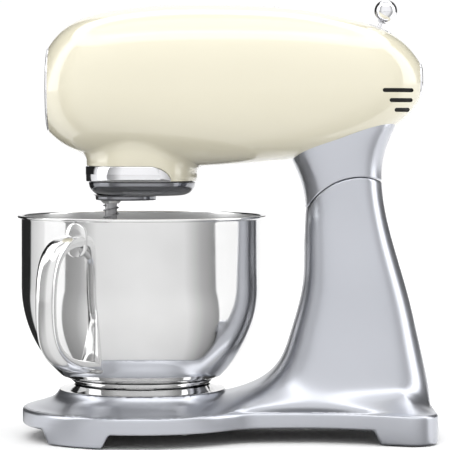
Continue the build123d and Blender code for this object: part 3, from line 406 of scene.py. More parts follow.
RUBBER = surface_material(
    "grey_rubber", (0.03, 0.03, 0.032), (0.05, 0.05, 0.052), 0.0, (0.7, 0.85), 60, 1800, 0.4, 0.00006)
GREY = surface_material(
    "moulded_grey", (0.10, 0.10, 0.105), (0.14, 0.14, 0.145), 0.0, (0.5, 0.65), 40, 1600, 0.4, 0.00005)
ALLOY = surface_material(
    "cast_alloy", (0.50, 0.51, 0.52), (0.62, 0.63, 0.64), 0.9, (0.45, 0.6), 30, 700, 0.5, 0.0001)
MACHINED = surface_material(
    "machined_steel", (0.42, 0.42, 0.43), (0.55, 0.55, 0.56), 1.0, (0.25, 0.4), 40, 900, 0.15, 0.00003,
    stretch=(1, 1, 6))
BRONZE = surface_material(
    "sintered_bronze", (0.40, 0.25, 0.10), (0.55, 0.36, 0.16), 0.95, (0.35, 0.5), 60, 1500, 0.3)
COPPER = surface_material(
    "enamelled_copper", (0.50, 0.17, 0.06), (0.65, 0.26, 0.10), 0.9, (0.25, 0.35), 60, 900, 0.8, 0.0003,
    stretch=(1, 1, 5))
CORE = surface_material(
    "laminated_core", (0.06, 0.06, 0.065), (0.12, 0.12, 0.125), 0.7, (0.5, 0.65), 40, 900, 0.8, 0.0002,
    stretch=(0.2, 0.2, 6))
NYLON = surface_material(
    "natural_nylon", (0.70, 0.68, 0.58), (0.80, 0.78, 0.70), 0.0, (0.35, 0.5), 30, 900, 0.1,
    Subsurface_Weight=0.1)
BOARD = surface_material(
    "circuit_board", (0.01, 0.09, 0.03), (0.02, 0.16, 0.06), 0.0, (0.3, 0.4), 60, 700, 0.2)
CARBON = surface_material(
    "carbon_block", (0.015, 0.015, 0.016), (0.03, 0.03, 0.032), 0.2, (0.5, 0.7), 80, 1500, 0.3)
SLOT_MATERIALS = {
    "enamel_cream": CREAM, "satin_silver": SILVER, "polished_steel": STEEL, "chrome_trim": CHROME,
    "dark_chrome": DARK_CHROME, "black_plastic": BLACK, "grey_plastic": GREY, "rubber_grey": RUBBER,
    "cast_alloy": ALLOY, "steel_part": MACHINED, "bronze": BRONZE, "copper_wire": COPPER,
    "core_steel": CORE, "board_green": BOARD, "carbon": CARBON, "nylon_white": NYLON,
}


def finish_cad_nodes():
    """Gives every CAD node the finish of its material slot."""
    for entry in frame["record"]["subparts"]:
        piece = frame["nodes"][entry["node"]]
        piece.data.materials.clear()
        piece.data.materials.append(SLOT_MATERIALS[entry["material_slot"]])


# ---------------------------------------------------------------- head
def head_ring(x, angle, inset=0.0):
    """Points of the head's section at each X: a superellipse about the section's middle height."""
    x = np.asarray(x, float)[:, None]
    top, bottom = HEAD_TOP(x), HEAD_BOTTOM(x)
    y, z = superellipse(angle[None], HEAD_HALF(x) - inset, (top - bottom) / 2 - inset, HEAD_POWER(x))
    return np.stack([np.broadcast_to(x, y.shape), y, z + (top + bottom) / 2], -1)


def flat_ring(x, radius, middle_z, angle):
    """A circle in the YZ plane."""
    one = np.stack([np.full_like(angle, x), radius * np.cos(angle), middle_z + radius * np.sin(angle)], -1)
    return one[None]


def head_casing():
    """Glossy shell: sections carried from front to rear, turned in through both ends as an inner wall."""
    angle = np.linspace(0, 2 * math.pi, 208, endpoint=False)
    outer = head_ring(end_spaced(HEAD_FRONT, HEAD_REAR, 190), angle)
    inner = head_ring(end_spaced(HEAD_FRONT + 4, HEAD_REAR - 4, 44), angle, SHELL_WALL)[::-1]
    front_lip = [flat_ring(HEAD_FRONT + dx, r, PORT_Z, angle)
                 for dx, r in ((2.6, 20.0), (0.0, 20.0), (-0.02, 39.6))]
    rear_lip = [flat_ring(HEAD_REAR + dx, 17.2, REAR_BUTTON_Z, angle) for dx in (0.02, -2.6)]
    grid = np.concatenate(front_lip + [outer] + rear_lip + [inner])
    casing = grid_piece("head_casing", grid, CREAM, loop_rows=True, sharp=35)
    cutters = [vent_cutter(x0, x1, z) for x0, x1, z in VENTS]
    cutters.append(lever_slot_cutter())
    cutters.append(lathe("belly_cut", [(0, 225), (48.4, 225), (48.4, 282), (0, 282)], BLACK, 96))
    cutters.append(grid_piece("neck_cut", neck_opening(), BLACK, caps=True))
    cut(casing, joined("casing_cutters", cutters))
    casing.data.set_sharp_from_angle(angle=math.radians(35))
    return casing


def neck_opening():
    """Upright superellipse tube inside the neck, for the passage into the head."""
    angle = np.linspace(0, 2 * math.pi, 48, endpoint=False)
    y, x = superellipse(angle, 31.0, 33.0, 2.9)
    rows = [np.stack([181 + x, y, np.full_like(x, z)], -1) for z in (232.0, 300.0)]
    return np.stack(rows)


def vent_shade_sheets():
    """Painted shade: black sheets set back in the vents, pill-shaped and following the head's side, so the
    slots read dark.
    """
    half = VENT_HIGH / 2
    sheets = []
    for x0, x1, z0 in VENTS:
        for side in (-1, 1):
            rows = []
            for reach, depth in ((0.0, 2.0), (0.6, 2.0), (0.97, 2.0), (0.97, 2.9), (0.6, 2.9), (0.0, 2.9)):
                x, rise = pill(x0 + half, x1 - half, half * reach)
                z = z0 + rise
                rows.append(np.stack([x, side * (head_side(x, z) - depth), z], -1))
            sheets.append(grid_piece("shade_sheet", np.stack(rows), BLACK, caps=True))
    return joined("vent_shade_sheets", sheets)


def pill(x0, x1, radius):
    """Outline of a round-ended bar, from the middles of its two ends."""
    t = np.linspace(-math.pi / 2, math.pi / 2, 13)
    along = np.concatenate([x1 + radius * np.cos(t), x0 - radius * np.cos(t)])
    return along, np.concatenate([radius * np.sin(t), -radius * np.sin(t)])


def head_side(x, z):
    """Half width of the head at a place in its side view."""
    top, bottom = HEAD_TOP(x), HEAD_BOTTOM(x)
    share = np.clip(1 - (np.abs(2 * z - top - bottom) / (top - bottom)) ** HEAD_POWER(x), 0.02, 1)
    return HEAD_HALF(x) * share ** (1 / HEAD_POWER(x))


def vent_cutter(x0, x1, z):
    """A long round-ended bar across the whole head."""
    x, rise = pill(x0 + VENT_HIGH / 2, x1 - VENT_HIGH / 2, VENT_HIGH / 2)
    rows = [np.stack([x, np.full_like(x, y), z + rise], -1) for y in (-75.0, 75.0)]
    return grid_piece("vent_cut", np.stack(rows), BLACK, caps=True)


def lever_slot_cutter():
    """An upright round-ended bar through the top of the head."""
    x, y = pill(130.7, 220.3, 2.7)
    rows = [np.stack([x, y, np.full_like(x, z)], -1) for z in (350.0, 420.0)]
    return grid_piece("slot_cut", np.stack(rows), BLACK, caps=True)


def cut(piece, cutter):
    """Cuts one closed mesh out of another and keeps the first one's shading."""
    tool = piece.modifiers.new("cut", "BOOLEAN")
    tool.operation = "DIFFERENCE"
    tool.solver = "EXACT"
    tool.object = cutter
    bpy.context.view_layer.objects.active = piece
    bpy.ops.object.modifier_apply(modifier=tool.name)
    bpy.data.objects.remove(cutter)
    while len(piece.data.materials) > 1:
        piece.data.materials.pop()
    index = np.zeros(len(piece.data.polygons), np.int32)
    piece.data.polygons.foreach_set("material_index", index)
    piece.data.polygons.foreach_set("use_smooth", np.ones(len(piece.data.polygons), bool))


def upright(radius, angle, height):
    """Points at a radius and angle about the bowl's axis."""
    return np.stack([radius * np.cos(angle), radius * np.sin(angle), height], -1)


def drive_housing():
    """Round housing under the head. Its lower edge drops from front to rear along a quarter ellipse."""
    turn = np.linspace(0, math.pi / 2, 16)
    edge_x = 7.0 + 21.0 * np.sin(turn)
    edge_z = BAND_BOTTOM + 0.4 + (BAND_TOP - BAND_BOTTOM - 0.4) * np.cos(turn)
    edge_angle = np.arccos(edge_x / SKIRT_R)
    side = np.concatenate([np.linspace(math.pi, edge_angle[0], 40, endpoint=False), edge_angle,
                           np.linspace(edge_angle[-1], 0, 24)[1:]])
    low = np.concatenate([np.full(40, BAND_TOP), edge_z, np.full(23, BAND_BOTTOM + 0.4)])
    angle = np.concatenate([side, -side[::-1][1:-1]])
    low = np.concatenate([low, low[::-1][1:-1]])

    def wall(radius, height):
        return upright(radius, angle, height)

    def belly(radius):
        return head_base(radius * np.cos(angle), radius * np.sin(angle))

    corner = wall(SKIRT_R, belly(SKIRT_R))
    start = wall(SKIRT_R, np.maximum(belly(SKIRT_R) - HOUSING_FILLET, low + 1.0))
    end = wall(SKIRT_R + HOUSING_FILLET, belly(SKIRT_R + HOUSING_FILLET) + 0.12)
    rows = [wall(SKIRT_R - 0.5, low), wall(SKIRT_R - 0.12, low + 0.12), wall(SKIRT_R, low + 0.5)]
    rows.append(rows[2] * 0.5 + start * 0.5)
    rows += [start * (1 - t) ** 2 + corner * 2 * t * (1 - t) + end * t ** 2 for t in np.linspace(0, 1, 12)]
    rows += [end + [0, 0, 1.3], wall(SKIRT_R - 2.4, belly(SKIRT_R - 2.4) + 1.3), wall(SKIRT_R - 2.4, low)]
    return grid_piece("drive_housing", np.stack(rows), CREAM, loop_rows=True)


def band_piece():
    """Polished band round the front of the drive unit, cut to the housing's edge."""
    turn = np.linspace(0, math.pi / 2, 20)
    edge_x = 6.8 + 20.9 * np.sin(turn)
    edge_z = BAND_BOTTOM + (BAND_TOP - 0.35 - BAND_BOTTOM) * np.cos(turn)
    edge_angle = np.arccos(edge_x / (SKIRT_R + 0.9))
    side = np.concatenate([np.linspace(math.pi, edge_angle[0], 60, endpoint=False), edge_angle[:-1]])
    high = np.concatenate([np.full(60, BAND_TOP - 0.35), edge_z[:-1]])
    angle = np.concatenate([-side[::-1][:-1], side])
    high = np.concatenate([high[::-1][:-1], high])

    def ring(radius, level):
        return upright(radius, angle, level)

    low = np.full_like(high, BAND_BOTTOM)
    tall = np.maximum(high - low, 0.4)
    outer, inner, ease = SKIRT_R + 0.9, SKIRT_R - 2.2, np.minimum(0.5, tall * 0.2)
    rows = [ring(inner, low), ring(outer - 0.4, low), ring(outer, low + ease), ring(outer, low + tall - ease),
            ring(outer - 0.4, low + tall), ring(inner, low + tall)]
    grid = np.stack(rows)
    return strip_solid("front_band", grid, CHROME)


def strip_solid(name, grid, material):
    """A bar whose section loops along rows and which is closed flat at both ends of its columns."""
    rows, columns = grid.shape[:2]
    faces = grid_faces(rows, columns, True, False)
    faces.append([k * columns for k in range(rows)])
    faces.append([k * columns + columns - 1 for k in range(rows)][::-1])
    return mesh_object(name, grid.reshape(-1, 3), faces, material)


def head_height(x, y):
    """Height of the head's top above a place in plan."""
    top, bottom = HEAD_TOP(x), HEAD_BOTTOM(x)
    share = np.clip(1 - (np.abs(y) / HEAD_HALF(x)) ** HEAD_POWER(x), 0, 1)
    return (top + bottom) / 2 + (top - bottom) / 2 * share ** (1 / HEAD_POWER(x))


def head_base(x, y):
    """Height of the head's underside above a place in plan."""
    return HEAD_TOP(x) + HEAD_BOTTOM(x) - head_height(x, y)


def speed_strip():
    """Thin bright inlay round the lever slot: a band between two round-ended outlines laid on the head."""
    t = np.linspace(-math.pi / 2, math.pi / 2, 25)
    run = np.linspace(0, 1, 40)[1:-1]

    def outline(x0, x1, r):
        ends = [(x1 - r + r * np.cos(t), r * np.sin(t)), (x0 + r - r * np.cos(t), -r * np.sin(t))]
        upper = (x1 - r + (x0 - x1 + 2 * r) * run, np.full_like(run, r))
        lower = (x0 + r + (x1 - x0 - 2 * r) * run, np.full_like(run, -r))
        parts = [ends[0], upper, ends[1], lower]
        return np.concatenate([p[0] for p in parts]), np.concatenate([p[1] for p in parts])

    outer, inner = outline(121.0, 229.0, 8.0), outline(129.0, 222.0, 2.3)
    rows = []
    for share, lift in ((0, -1.2), (0, 0.35), (0.06, 0.55), (0.35, 0.6),
                        (0.65, 0.6), (0.94, 0.55), (1, 0.3), (1, -1.2)):
        x = inner[0] + (outer[0] - inner[0]) * share
        y = inner[1] + (outer[1] - inner[1]) * share
        rows.append(np.stack([x, y, head_height(x, y) + lift], -1))
    return grid_piece("speed_strip", np.stack(rows), CHROME, loop_rows=True)


# ---------------------------------------------------------------- neck and stand
def pillar_ring(z, angle, inset=0.0):
    """Points of the pillar's section at given heights."""
    front, rear = PILLAR_FRONT(z), PILLAR_REAR(z)
    x, y = superellipse(angle, (rear - front) / 2 - inset, PILLAR_HALF(z) - inset, PILLAR_POWER)
    return np.stack([x + (front + rear) / 2, y, np.broadcast_to(z, x.shape)], -1)


def seam_height(angle, inset):
    """Height at which each line of the pillar's side meets the seam's cylinder about the hinge."""
    z = np.linspace(190, 262, 500)[:, None]
    points = pillar_ring(z, angle[None], inset)
    reach = np.hypot(points[..., 0] - HINGE_X, points[..., 2] - HINGE_Z) - SEAM_R
    below = np.argmax(reach > 0, axis=0)
    k = np.clip(below, 1, 499)
    columns = np.arange(len(angle))
    a, b = reach[k - 1, columns], reach[k, columns]
    return z[k - 1, 0] + (z[k, 0] - z[k - 1, 0]) * (-a / (b - a))


def neck():
    """Upper end of the pillar, cut by the seam's cylinder and running up into the head."""
    angle = np.linspace(0, 2 * math.pi, 180, endpoint=False)
    low = seam_height(angle, 0.0)
    low_in = seam_height(angle, 3.0)
    share = np.linspace(0, 1, 46)[:, None]
    outer = pillar_ring(low + 0.45 + (PILLAR_TOP - low - 0.45) * share, angle[None])
    edge = pillar_ring(low[None] + 0.06, angle[None], 0.35)
    inner = pillar_ring(low_in + (PILLAR_TOP - low_in) * (1 - share[::5]), angle[None], 3.0)
    return grid_piece("neck", np.concatenate([edge, outer, inner]), SILVER, loop_rows=True, sharp=50)


def base_outline(x, y):
    """Distance from the base's plan outline: a round front lobe joined to a tail with a waist."""
    knots = np.array([(20, 80), (60, 68), (86, 63.5), (118, 60.2), (152, 59.5),
                      (190, 67), (222, 80), (243, 87.5), (275, 91)])
    half = np.interp(x, *smooth_path(np.column_stack([knots, np.zeros(len(knots))]), 400)[:, :2].T)
    even = np.linspace(20, 275, 200)
    slope = np.interp(x, even, np.gradient(np.interp(even, *knots.T), 255 / 199))
    tail = (np.abs(y) - half) / np.sqrt(1 + slope ** 2)
    tail = round_and(round_and(tail, x - 268.0, 30.0), 40.0 - x, 5.0)
    lobe = np.hypot(x, y) - 110.0
    return smooth_min(lobe, tail, 16.0)


def pillar_field(x, y, z, inset=0.0):
    """Distance from the pillar, from the superellipse's norm over its slope."""
    front, rear, half = PILLAR_FRONT(z), PILLAR_REAR(z), PILLAR_HALF(z) - inset
    a = (rear - front) / 2 - inset
    u, v = np.abs(x - (front + rear) / 2) / a, np.abs(y) / half
    n = PILLAR_POWER
    norm = np.maximum((u ** n + v ** n) ** (1 / n), 0.3)
    slope = norm ** (1 - n) * np.sqrt((u ** (n - 1) / a) ** 2 + (v ** (n - 1) / half) ** 2)
    return (norm - 1) / np.maximum(slope, 0.3 / 60)


def stand_field(p):
    """Distance field of the whole stand casting."""
    x, y, z = p
    radial = np.hypot(x, y)
    plan = base_outline(x, y)
    high = np.clip(z, 27.0, 260.0)
    morph = np.clip((60.0 - z) / 32.5, 0, 1) ** 3
    pillar = pillar_field(x, y, high) * (1 - morph) + (plan + 3.4) * morph
    hinge_r = np.hypot(x - HINGE_X, z - HINGE_Z)
    above = np.where(z > HINGE_Z, hinge_r, np.abs(x - HINGE_X))
    near_seam = z > HINGE_Z - 20
    pillar = round_and(pillar, above - (SEAM_R - 0.5), 1.4) * near_seam + pillar * ~near_seam
    pillar = np.maximum(pillar, 24.0 - z)
    out = np.clip((105.5 - radial) / 23.0, 0, 1.4)
    pad_top = SKIRT_TOP + 8.0 * out ** 0.9 + 6.1 * np.exp(-np.clip(radial - 76.3, 0, 60) / 3.2)
    pad = round_and(np.maximum((z - pad_top) * 0.8, 20.0 - z), z - PAD_TOP, 0.6)
    pad = np.maximum(pad, radial - 106.0)
    skirt = round_and(plan, z - SKIRT_TOP, 2.6)
    upper = smooth_min(pillar, pad, 7.0)
    solid = smooth_min(upper, skirt, 3.0)
    low, slope = foot_height(x, y)
    solid = round_and(solid, (low - z) / np.sqrt(1 + slope ** 2), 2.0)
    solid = np.maximum(solid, -np.maximum(plan + 4.0, z - 16.0))
    solid = np.maximum(solid, -np.maximum(radial - 66.8, 39.9 - z))
    hollow = np.maximum(pillar_field(x, y, high) + COLUMN_WALL, 70.0 - z)
    hollow = np.maximum(hollow, np.minimum(hinge_r - SEAM_R + 4.6, HINGE_Z - z))
    solid = np.maximum(solid, -hollow)
    dx, dz = x - HINGE_X, z - HINGE_Z
    a1, a2 = math.radians(76), math.radians(149)
    wedge = np.maximum(dx * math.sin(a1) - dz * math.cos(a1), -dx * math.sin(a2) + dz * math.cos(a2))
    slot = np.maximum(np.maximum(np.abs(y) - 15.5, 38.0 - hinge_r), wedge)
    return np.maximum(solid, -slot)


def eased(value, start, width):
    """Smooth step from 0 to 1 and its slope."""
    t = np.clip((value - start) / width, 0, 1)
    return t * t * (3 - 2 * t), 6 * t * (1 - t) / width


def foot_height(x, y):
    """Height of the skirt's lower edge, on the table at the feet and raised between them, and its slope."""
    f1, d1 = eased(x, -89, 8)
    f2, d2 = eased(x, -34, 9)
    r1, e1 = eased(x, 208, 9)
    r2, e2 = eased(np.abs(y), 40, 9)
    front, rear = f1 * (1 - f2), r1 * r2
    drop = 12.0 * np.maximum(front, rear)
    slope = 12.0 * np.maximum(np.maximum(d1, d2), np.hypot(e1 * r2, e2 * r1))
    return 13.0 - drop, slope


def field_surface(name, field, low, high, cell, material):
    """Surface nets: one point in each cell that the surface crosses, then moved onto the surface."""
    axes = [np.arange(a, b + cell, cell) for a, b in zip(low, high)]
    x, y, z = np.meshgrid(*axes, indexing="ij", sparse=True)
    value = np.broadcast_to(field((x, y, z)), tuple(len(a) for a in axes)).astype(np.float32)
    inside = value < 0
    cells = tuple(n - 1 for n in inside.shape)
    count = np.zeros(cells, np.uint8)
    offsets = [(i, j, k) for i in (0, 1) for j in (0, 1) for k in (0, 1)]

    def corner(array, o):
        return array[o[0]:o[0] + cells[0], o[1]:o[1] + cells[1], o[2]:o[2] + cells[2]]
    for o in offsets:
        count += corner(inside, o)
    mixed = (count > 0) & (count < 8)
    ids = np.full(cells, -1, np.int64)
    where = np.argwhere(mixed)
    ids[mixed] = np.arange(len(where))
    points = np.zeros((len(where), 3))
    weight = np.zeros(len(where))
    for o in offsets:
        for axis in range(3):
            if o[axis]:
                continue
            e = list(o)
            e[axis] = 1
            a = corner(value, o)[mixed]
            b = corner(value, tuple(e))[mixed]
            hit = (a < 0) != (b < 0)
            t = np.where(hit, a / np.where(hit, a - b, 1), 0)
            spot = np.array(o, float)[None] + np.zeros((len(a), 3))
            spot[:, axis] += t
            points[hit] += spot[hit]
            weight += hit
    points = np.array(low) + cell * (where + points / weight[:, None])

    def gradient():
        return np.stack([(field((points + d).T) - field((points - d).T)) / 0.2 for d in np.eye(3) * 0.1], 1)

    for _ in range(5):
        f, slope = field(points.T), gradient()
        step = f[:, None] * slope / np.maximum((slope ** 2).sum(1), 0.2)[:, None]
        points -= np.clip(step, -cell * 0.5, cell * 0.5)
    faces = []
    for axis in range(3):
        o1, o2 = [k for k in range(3) if k != axis]
        ahead = [slice(1, -1)] * 3
        ahead[axis] = slice(0, -1)
        behind = list(ahead)
        behind[axis] = slice(1, None)
        changes = np.argwhere(inside[tuple(ahead)] != inside[tuple(behind)])
        base = changes + np.array([0 if k == axis else 1 for k in range(3)])
        quad = []
        for da, db in ((0, 0), (-1, 0), (-1, -1), (0, -1)):
            at = base.copy()
            at[:, o1] += da
            at[:, o2] += db
            quad.append(ids[at[:, 0], at[:, 1], at[:, 2]])
        quad = np.stack(quad, 1)
        faces.append(quad[(quad >= 0).all(1)])
    faces = np.concatenate(faces)
    normal = gradient()
    normal /= np.maximum(np.linalg.norm(normal, axis=1, keepdims=True), 1e-6)
    across = np.cross(points[faces[:, 2]] - points[faces[:, 0]], points[faces[:, 3]] - points[faces[:, 1]])
    inwards = (across * normal[faces].sum(1)).sum(1) < 0
    faces[inwards] = faces[inwards][:, ::-1]
    mesh = bpy.data.meshes.new(name)
    mesh.from_pydata((points * MM).tolist(), [], faces.tolist())
    mesh.materials.append(material)
    mesh.polygons.foreach_set("use_smooth", np.ones(len(mesh.polygons), bool))
    mesh.normals_split_custom_set_from_vertices(normal.tolist())
    return placed(name, mesh)


def stand():
    """Column, bowl pad and base as one casting."""
    return field_surface("stand_body", stand_field, (-114, -112, -2), (272, 112, 242), CELL, SILVER)


# ---------------------------------------------------------------- bowl
def bowl_profile():
    """Outer wall up, round the rolled rim, and down the inside."""
    wall, dome, floor = BOWL_R, DOME_Z, 53.0
    low = math.asin((dome - 57.0) / wall)
    arc = np.linspace(low, 0, 60)
    outer = [(0, floor), (58, floor), (64, floor + 0.5), (69.5, floor + 2.0)]
    outer += list(zip(wall * np.cos(arc), dome - wall * np.sin(arc)))
    outer += [(wall, z) for z in np.linspace(148, 199.6, 12)]
    rim = rounded([(wall, 199.6, 0), (wall, RIM_Z - 2.7, 1.6), (RIM_R, RIM_Z - 2.3, 1.1), (RIM_R, RIM_Z, 0.9),
                   (wall - BOWL_WALL, RIM_Z - 0.3, 1.6), (wall - BOWL_WALL, RIM_Z - 6, 0)], 6)
    inside_r = wall - BOWL_WALL
    low_in = math.asin((dome - 58.0) / inside_r)
    arc = np.linspace(0, low_in, 60)
    inner = [(inside_r, z) for z in np.linspace(196, 148, 10)]
    inner += list(zip(inside_r * np.cos(arc), dome - inside_r * np.sin(arc)))
    inner += [(68.5, floor + 3.2), (63, floor + 1.7), (57, floor + 1.2), (0, floor + 1.2)]
    return np.vstack([outer, rim[1:], inner])


def bowl():
    """Mirror-bright outside and rim, satin inside."""
    shell = lathe("bowl_body", bowl_profile(), STEEL, 288, sharp=60)
    shell.data.materials.append(SATIN_STEEL)
    for face in shell.data.polygons:
        middle, normal = face.center, face.normal
        inward = middle.x * normal.x + middle.y * normal.y < 0 or normal.z > 0.9
        if inward and middle.z < (RIM_Z - 2.5) * MM:
            face.material_index = 1
    return shell


def bowl_base():
    """Foot ring of the bowl, with three bayonet lugs."""
    ring = lathe("foot_ring", rounded([
        (57, 41, 0), (61, 41, 0.8), (61, 48.5, 2.5), (66.0, 53.4, 0.6), (57, 53.4, 0.2), (57, 41, 0)], 5),
        STEEL, 160, closed=True)
    lugs = [ring]
    for k in range(3):
        angle = np.radians(np.linspace(-12.5, 12.5, 16) + 30 + 120 * k)
        section = rounded([(60, 41, 0), (65, 41, 0.5), (65, 43, 0.5), (60, 43, 0)], 4)
        grid = upright(section[:, :1], angle, np.repeat(section[:, 1:], len(angle), 1))
        lugs.append(strip_solid("lug", grid, STEEL))
    return joined("bowl_base", lugs)


def seat_ring():
    """Polished ring on the pad: a concave flare round the bowl's foot."""
    t = np.linspace(0, 1, 16)
    flare = np.column_stack([76.3 - 13.6 * t, 44.3 + 3.6 * t ** 1.7])
    profile = np.vstack([[(67.2, PAD_TOP), (76.0, PAD_TOP), (76.3, 44.1)], flare,
                         [(62.4, 47.8), (62.3, 47.5), (62.3, 45.0), (67.2, 45.0)]])
    return lathe("seat_flare", profile, STEEL, 200, closed=True)


HANDLE_TURN = math.radians(-90 - 29.6)


def handle():
    """Bent strap swept along a smooth path in the plane of the bowl's axis, with a pill-shaped top pad."""
    knots = [(104, 184.5), (120, 184), (136, 181), (149.5, 172), (157, 156), (159.4, 136), (158.7, 114),
             (154, 97), (143, 84.5), (124, 76), (102, 72), (80, 69.5)]
    path = smooth_path([(r, 0, z) for r, z in knots], 150)
    tangent = curve_frames(path)
    across = np.array([0, 1.0, 0])
    normal = np.cross(across, tangent)
    share = np.linspace(0, 1, len(path))[:, None]
    half_wide = 10.6 - 1.6 * np.sin(share * math.pi) ** 2
    half_thick = 5.6 + 0.8 * np.sin(share * math.pi)
    angle = np.linspace(0, 2 * math.pi, 64, endpoint=False)
    a, b = superellipse(angle, half_wide, half_thick, 2.9)
    grid = path[:, None] + a[..., None] * across + b[..., None] * normal[:, None]
    strap = grid_piece("strap", turned(kept_outside(grid)), HANDLE_STEEL, caps=True)
    return joined("handle_strap", [strap, handle_pad()])


def kept_outside(grid):
    """Moves the points that fall inside the bowl out into the middle of its wall."""
    x, y, z = np.moveaxis(grid, -1, 0)
    wall = np.sqrt(BOWL_R ** 2 - np.maximum(DOME_Z - z, 0) ** 2) - 0.35
    grow = np.maximum(wall / np.hypot(x, y), 1.0)
    return np.stack([x * grow, y * grow, z], -1)


def turned(grid):
    """Turns points made in the XZ plane to the handle's side of the bowl."""
    c, s = math.cos(HANDLE_TURN), math.sin(HANDLE_TURN)
    x, y, z = np.moveaxis(grid, -1, 0)
    return np.stack([c * x - s * y, s * x + c * y, z], -1)


def handle_pad():
    """Pill-shaped welded plate that follows the bowl's wall, with a soft edge."""
    around = np.linspace(0, 2 * math.pi, 96, endpoint=False)
    rows = []
    for share, lift in ((0, 2.6), (0.5, 2.6), (0.84, 2.5), (0.94, 2.1), (1.0, 1.2), (1.0, -0.8)):
        y = 11.0 * share * np.cos(around)
        z = 185.0 + 11.0 * share * np.sin(around) + 4.5 * np.sign(np.sin(around)) * min(1.0, share * 2)
        rows.append(upright(BOWL_R + lift, y / BOWL_R, z))
    return grid_piece("pad", turned(np.stack(rows)), HANDLE_STEEL, caps=True, sharp=50)


# ---------------------------------------------------------------- drive end, lever, caps
def planet_cover():
    """Polished hub with a round lower edge and an offset boss."""
    turn = np.linspace(-math.pi / 2, 0, 22)
    edge = np.column_stack([36.5 + 12.5 * np.cos(turn), 233.2 + 11.2 * np.sin(turn)])
    top = [(49, 234.0), (48.4, 234.6), (47.2, 234.6), (47.2, 230.0), (0, 230.0)]
    disc = lathe("disc", np.vstack([[(0, 222), (20, 222)], edge, top]), DARK_CHROME, 200)
    step = rounded([(0, 217.4, 0), (28, 217.4, 1.6), (28, 221.4, 1.2), (30.2, 222.6, 0)], 7)
    boss = lathe("boss", np.vstack([step, (0, 223.5)]), DARK_CHROME, 120, centre=(-14.8, 0, 0))
    return joined("planet_cover", [disc, boss])


def tool_shaft():
    """Tool shaft with a rounded tip and a groove."""
    profile = rounded([(0, 172, 0), (5.5, 172, 1.6), (5.5, 184.4, 0.3), (4.9, 184.9, 0.3), (4.9, 186.2, 0.3),
                       (5.5, 186.7, 0.3), (5.5, 250, 0.5), (0, 250, 0)], 6)
    return lathe("drive_shaft", profile, MACHINED, 72, centre=(-ORBIT_R, 0, 0))


def cross_pin():
    """Round-ended pin through the tool shaft."""
    profile = rounded([(0, -9.5, 0), (1.9, -9.5, 0.6), (1.9, 9.5, 0.6), (0, 9.5, 0)], 5)
    return lathe("cross_pin", profile, CHROME, 40, axis="Y", centre=(-ORBIT_R, 0, 180.0))


def spring():
    """Open coil: a round wire carried along a helix, with flattened end turns."""
    turns, wire, radius = 4.6, 0.62, 6.7
    t = np.linspace(0, 1, 300)
    rise = 187.2 + 25.6 * (t - 0.055 * np.sin(2 * math.pi * t))
    a = 2 * math.pi * turns * t
    path = np.stack([radius * np.cos(a) - ORBIT_R, radius * np.sin(a), rise], -1)
    tangent = curve_frames(path)
    out = np.stack([np.cos(a), np.sin(a), np.zeros_like(a)], -1)
    up = np.cross(tangent, out)
    ring = np.linspace(0, 2 * math.pi, 14, endpoint=False)
    c, s = np.cos(ring)[None, :, None], np.sin(ring)[None, :, None]
    grid = path[:, None] + wire * (c * out[:, None] + s * up[:, None])
    return grid_piece("coil_spring", grid, MACHINED, caps=True)


def collar():
    """Flared collar where the shaft leaves the hub."""
    profile = rounded([(5.55, 214.2, 0), (7.2, 214.2, 0.5), (9.9, 217.2, 0.5), (9.9, 217.38, 0.1),
                       (5.55, 217.38, 0)], 5)
    return lathe("shaft_collar", profile, CHROME, 72, centre=(-ORBIT_R, 0, 0), closed=True)


def front_cap():
    """Domed disc on the accessory port, with a thin step round its edge."""
    profile = rounded([(0, 3.3, 0), (20, 3.05, 30), (36.2, 2.35, 1.2), (37.0, 1.9, 0.3), (38.9, 1.7, 0.8),
                       (38.9, 0, 0.3), (17.5, 0, 0.4), (17.5, -4.2, 0.6), (14.5, -4.2, 0.3),
                       (14.5, -0.3, 0.3), (0, -0.3, 0)], 5)
    return lathe("port_cap", profile, CHROME, 160, axis="X", centre=(HEAD_FRONT, 0, PORT_Z))


def rear_button():
    """Round release button with a dished face, on its rod."""
    profile = rounded([(0, -8.4, 0), (9, -8.5, 20), (13.6, -9.3, 0.8), (16.2, -8.3, 1.4),
                       (16.2, 0, 0.5), (3, 0, 0.4), (3, 67, 0.5), (0, 67, 0)], 6)
    return lathe("release_cap", profile, CHROME, 120, axis="X", centre=(248.0, 0, REAR_BUTTON_Z))


def lever():
    """Ball on a thin stem that leans back from the speed slot."""
    centre_x, centre_z, radius, lean = 102.4, 65.9, 329.5, math.radians(20.5)
    arc = np.linspace(-math.pi / 2 + 0.25, math.pi / 2, 40)
    ball = [(10.5 * math.cos(a), radius + 17.4 + 10.5 * math.sin(a)) for a in arc]
    neck_profile = [(0, radius + 5.9), (3.4, radius + 5.9), (3.9, radius + 6.4), (3.6, radius + 7.0)]
    ball_profile = np.array(neck_profile + ball)
    stem_profile = rounded([(0, radius - 6.5, 0), (1.9, radius - 6.5, 0.2), (1.9, radius + 8, 0),
                            (0, radius + 8, 0)], 4)
    pieces = []
    for name, profile, segments in (("lever_knob", ball_profile, 96), ("lever_rod", stem_profile, 40)):
        grid = lathe_grid(profile, segments)
        x, y, z = np.moveaxis(grid, -1, 0)
        leaned = np.stack([centre_x + x * math.cos(lean) + z * math.sin(lean), y,
                           centre_z - x * math.sin(lean) + z * math.cos(lean)], -1)
        pieces.append(grid_piece(name, leaned, CHROME, sharp=50))
    return pieces


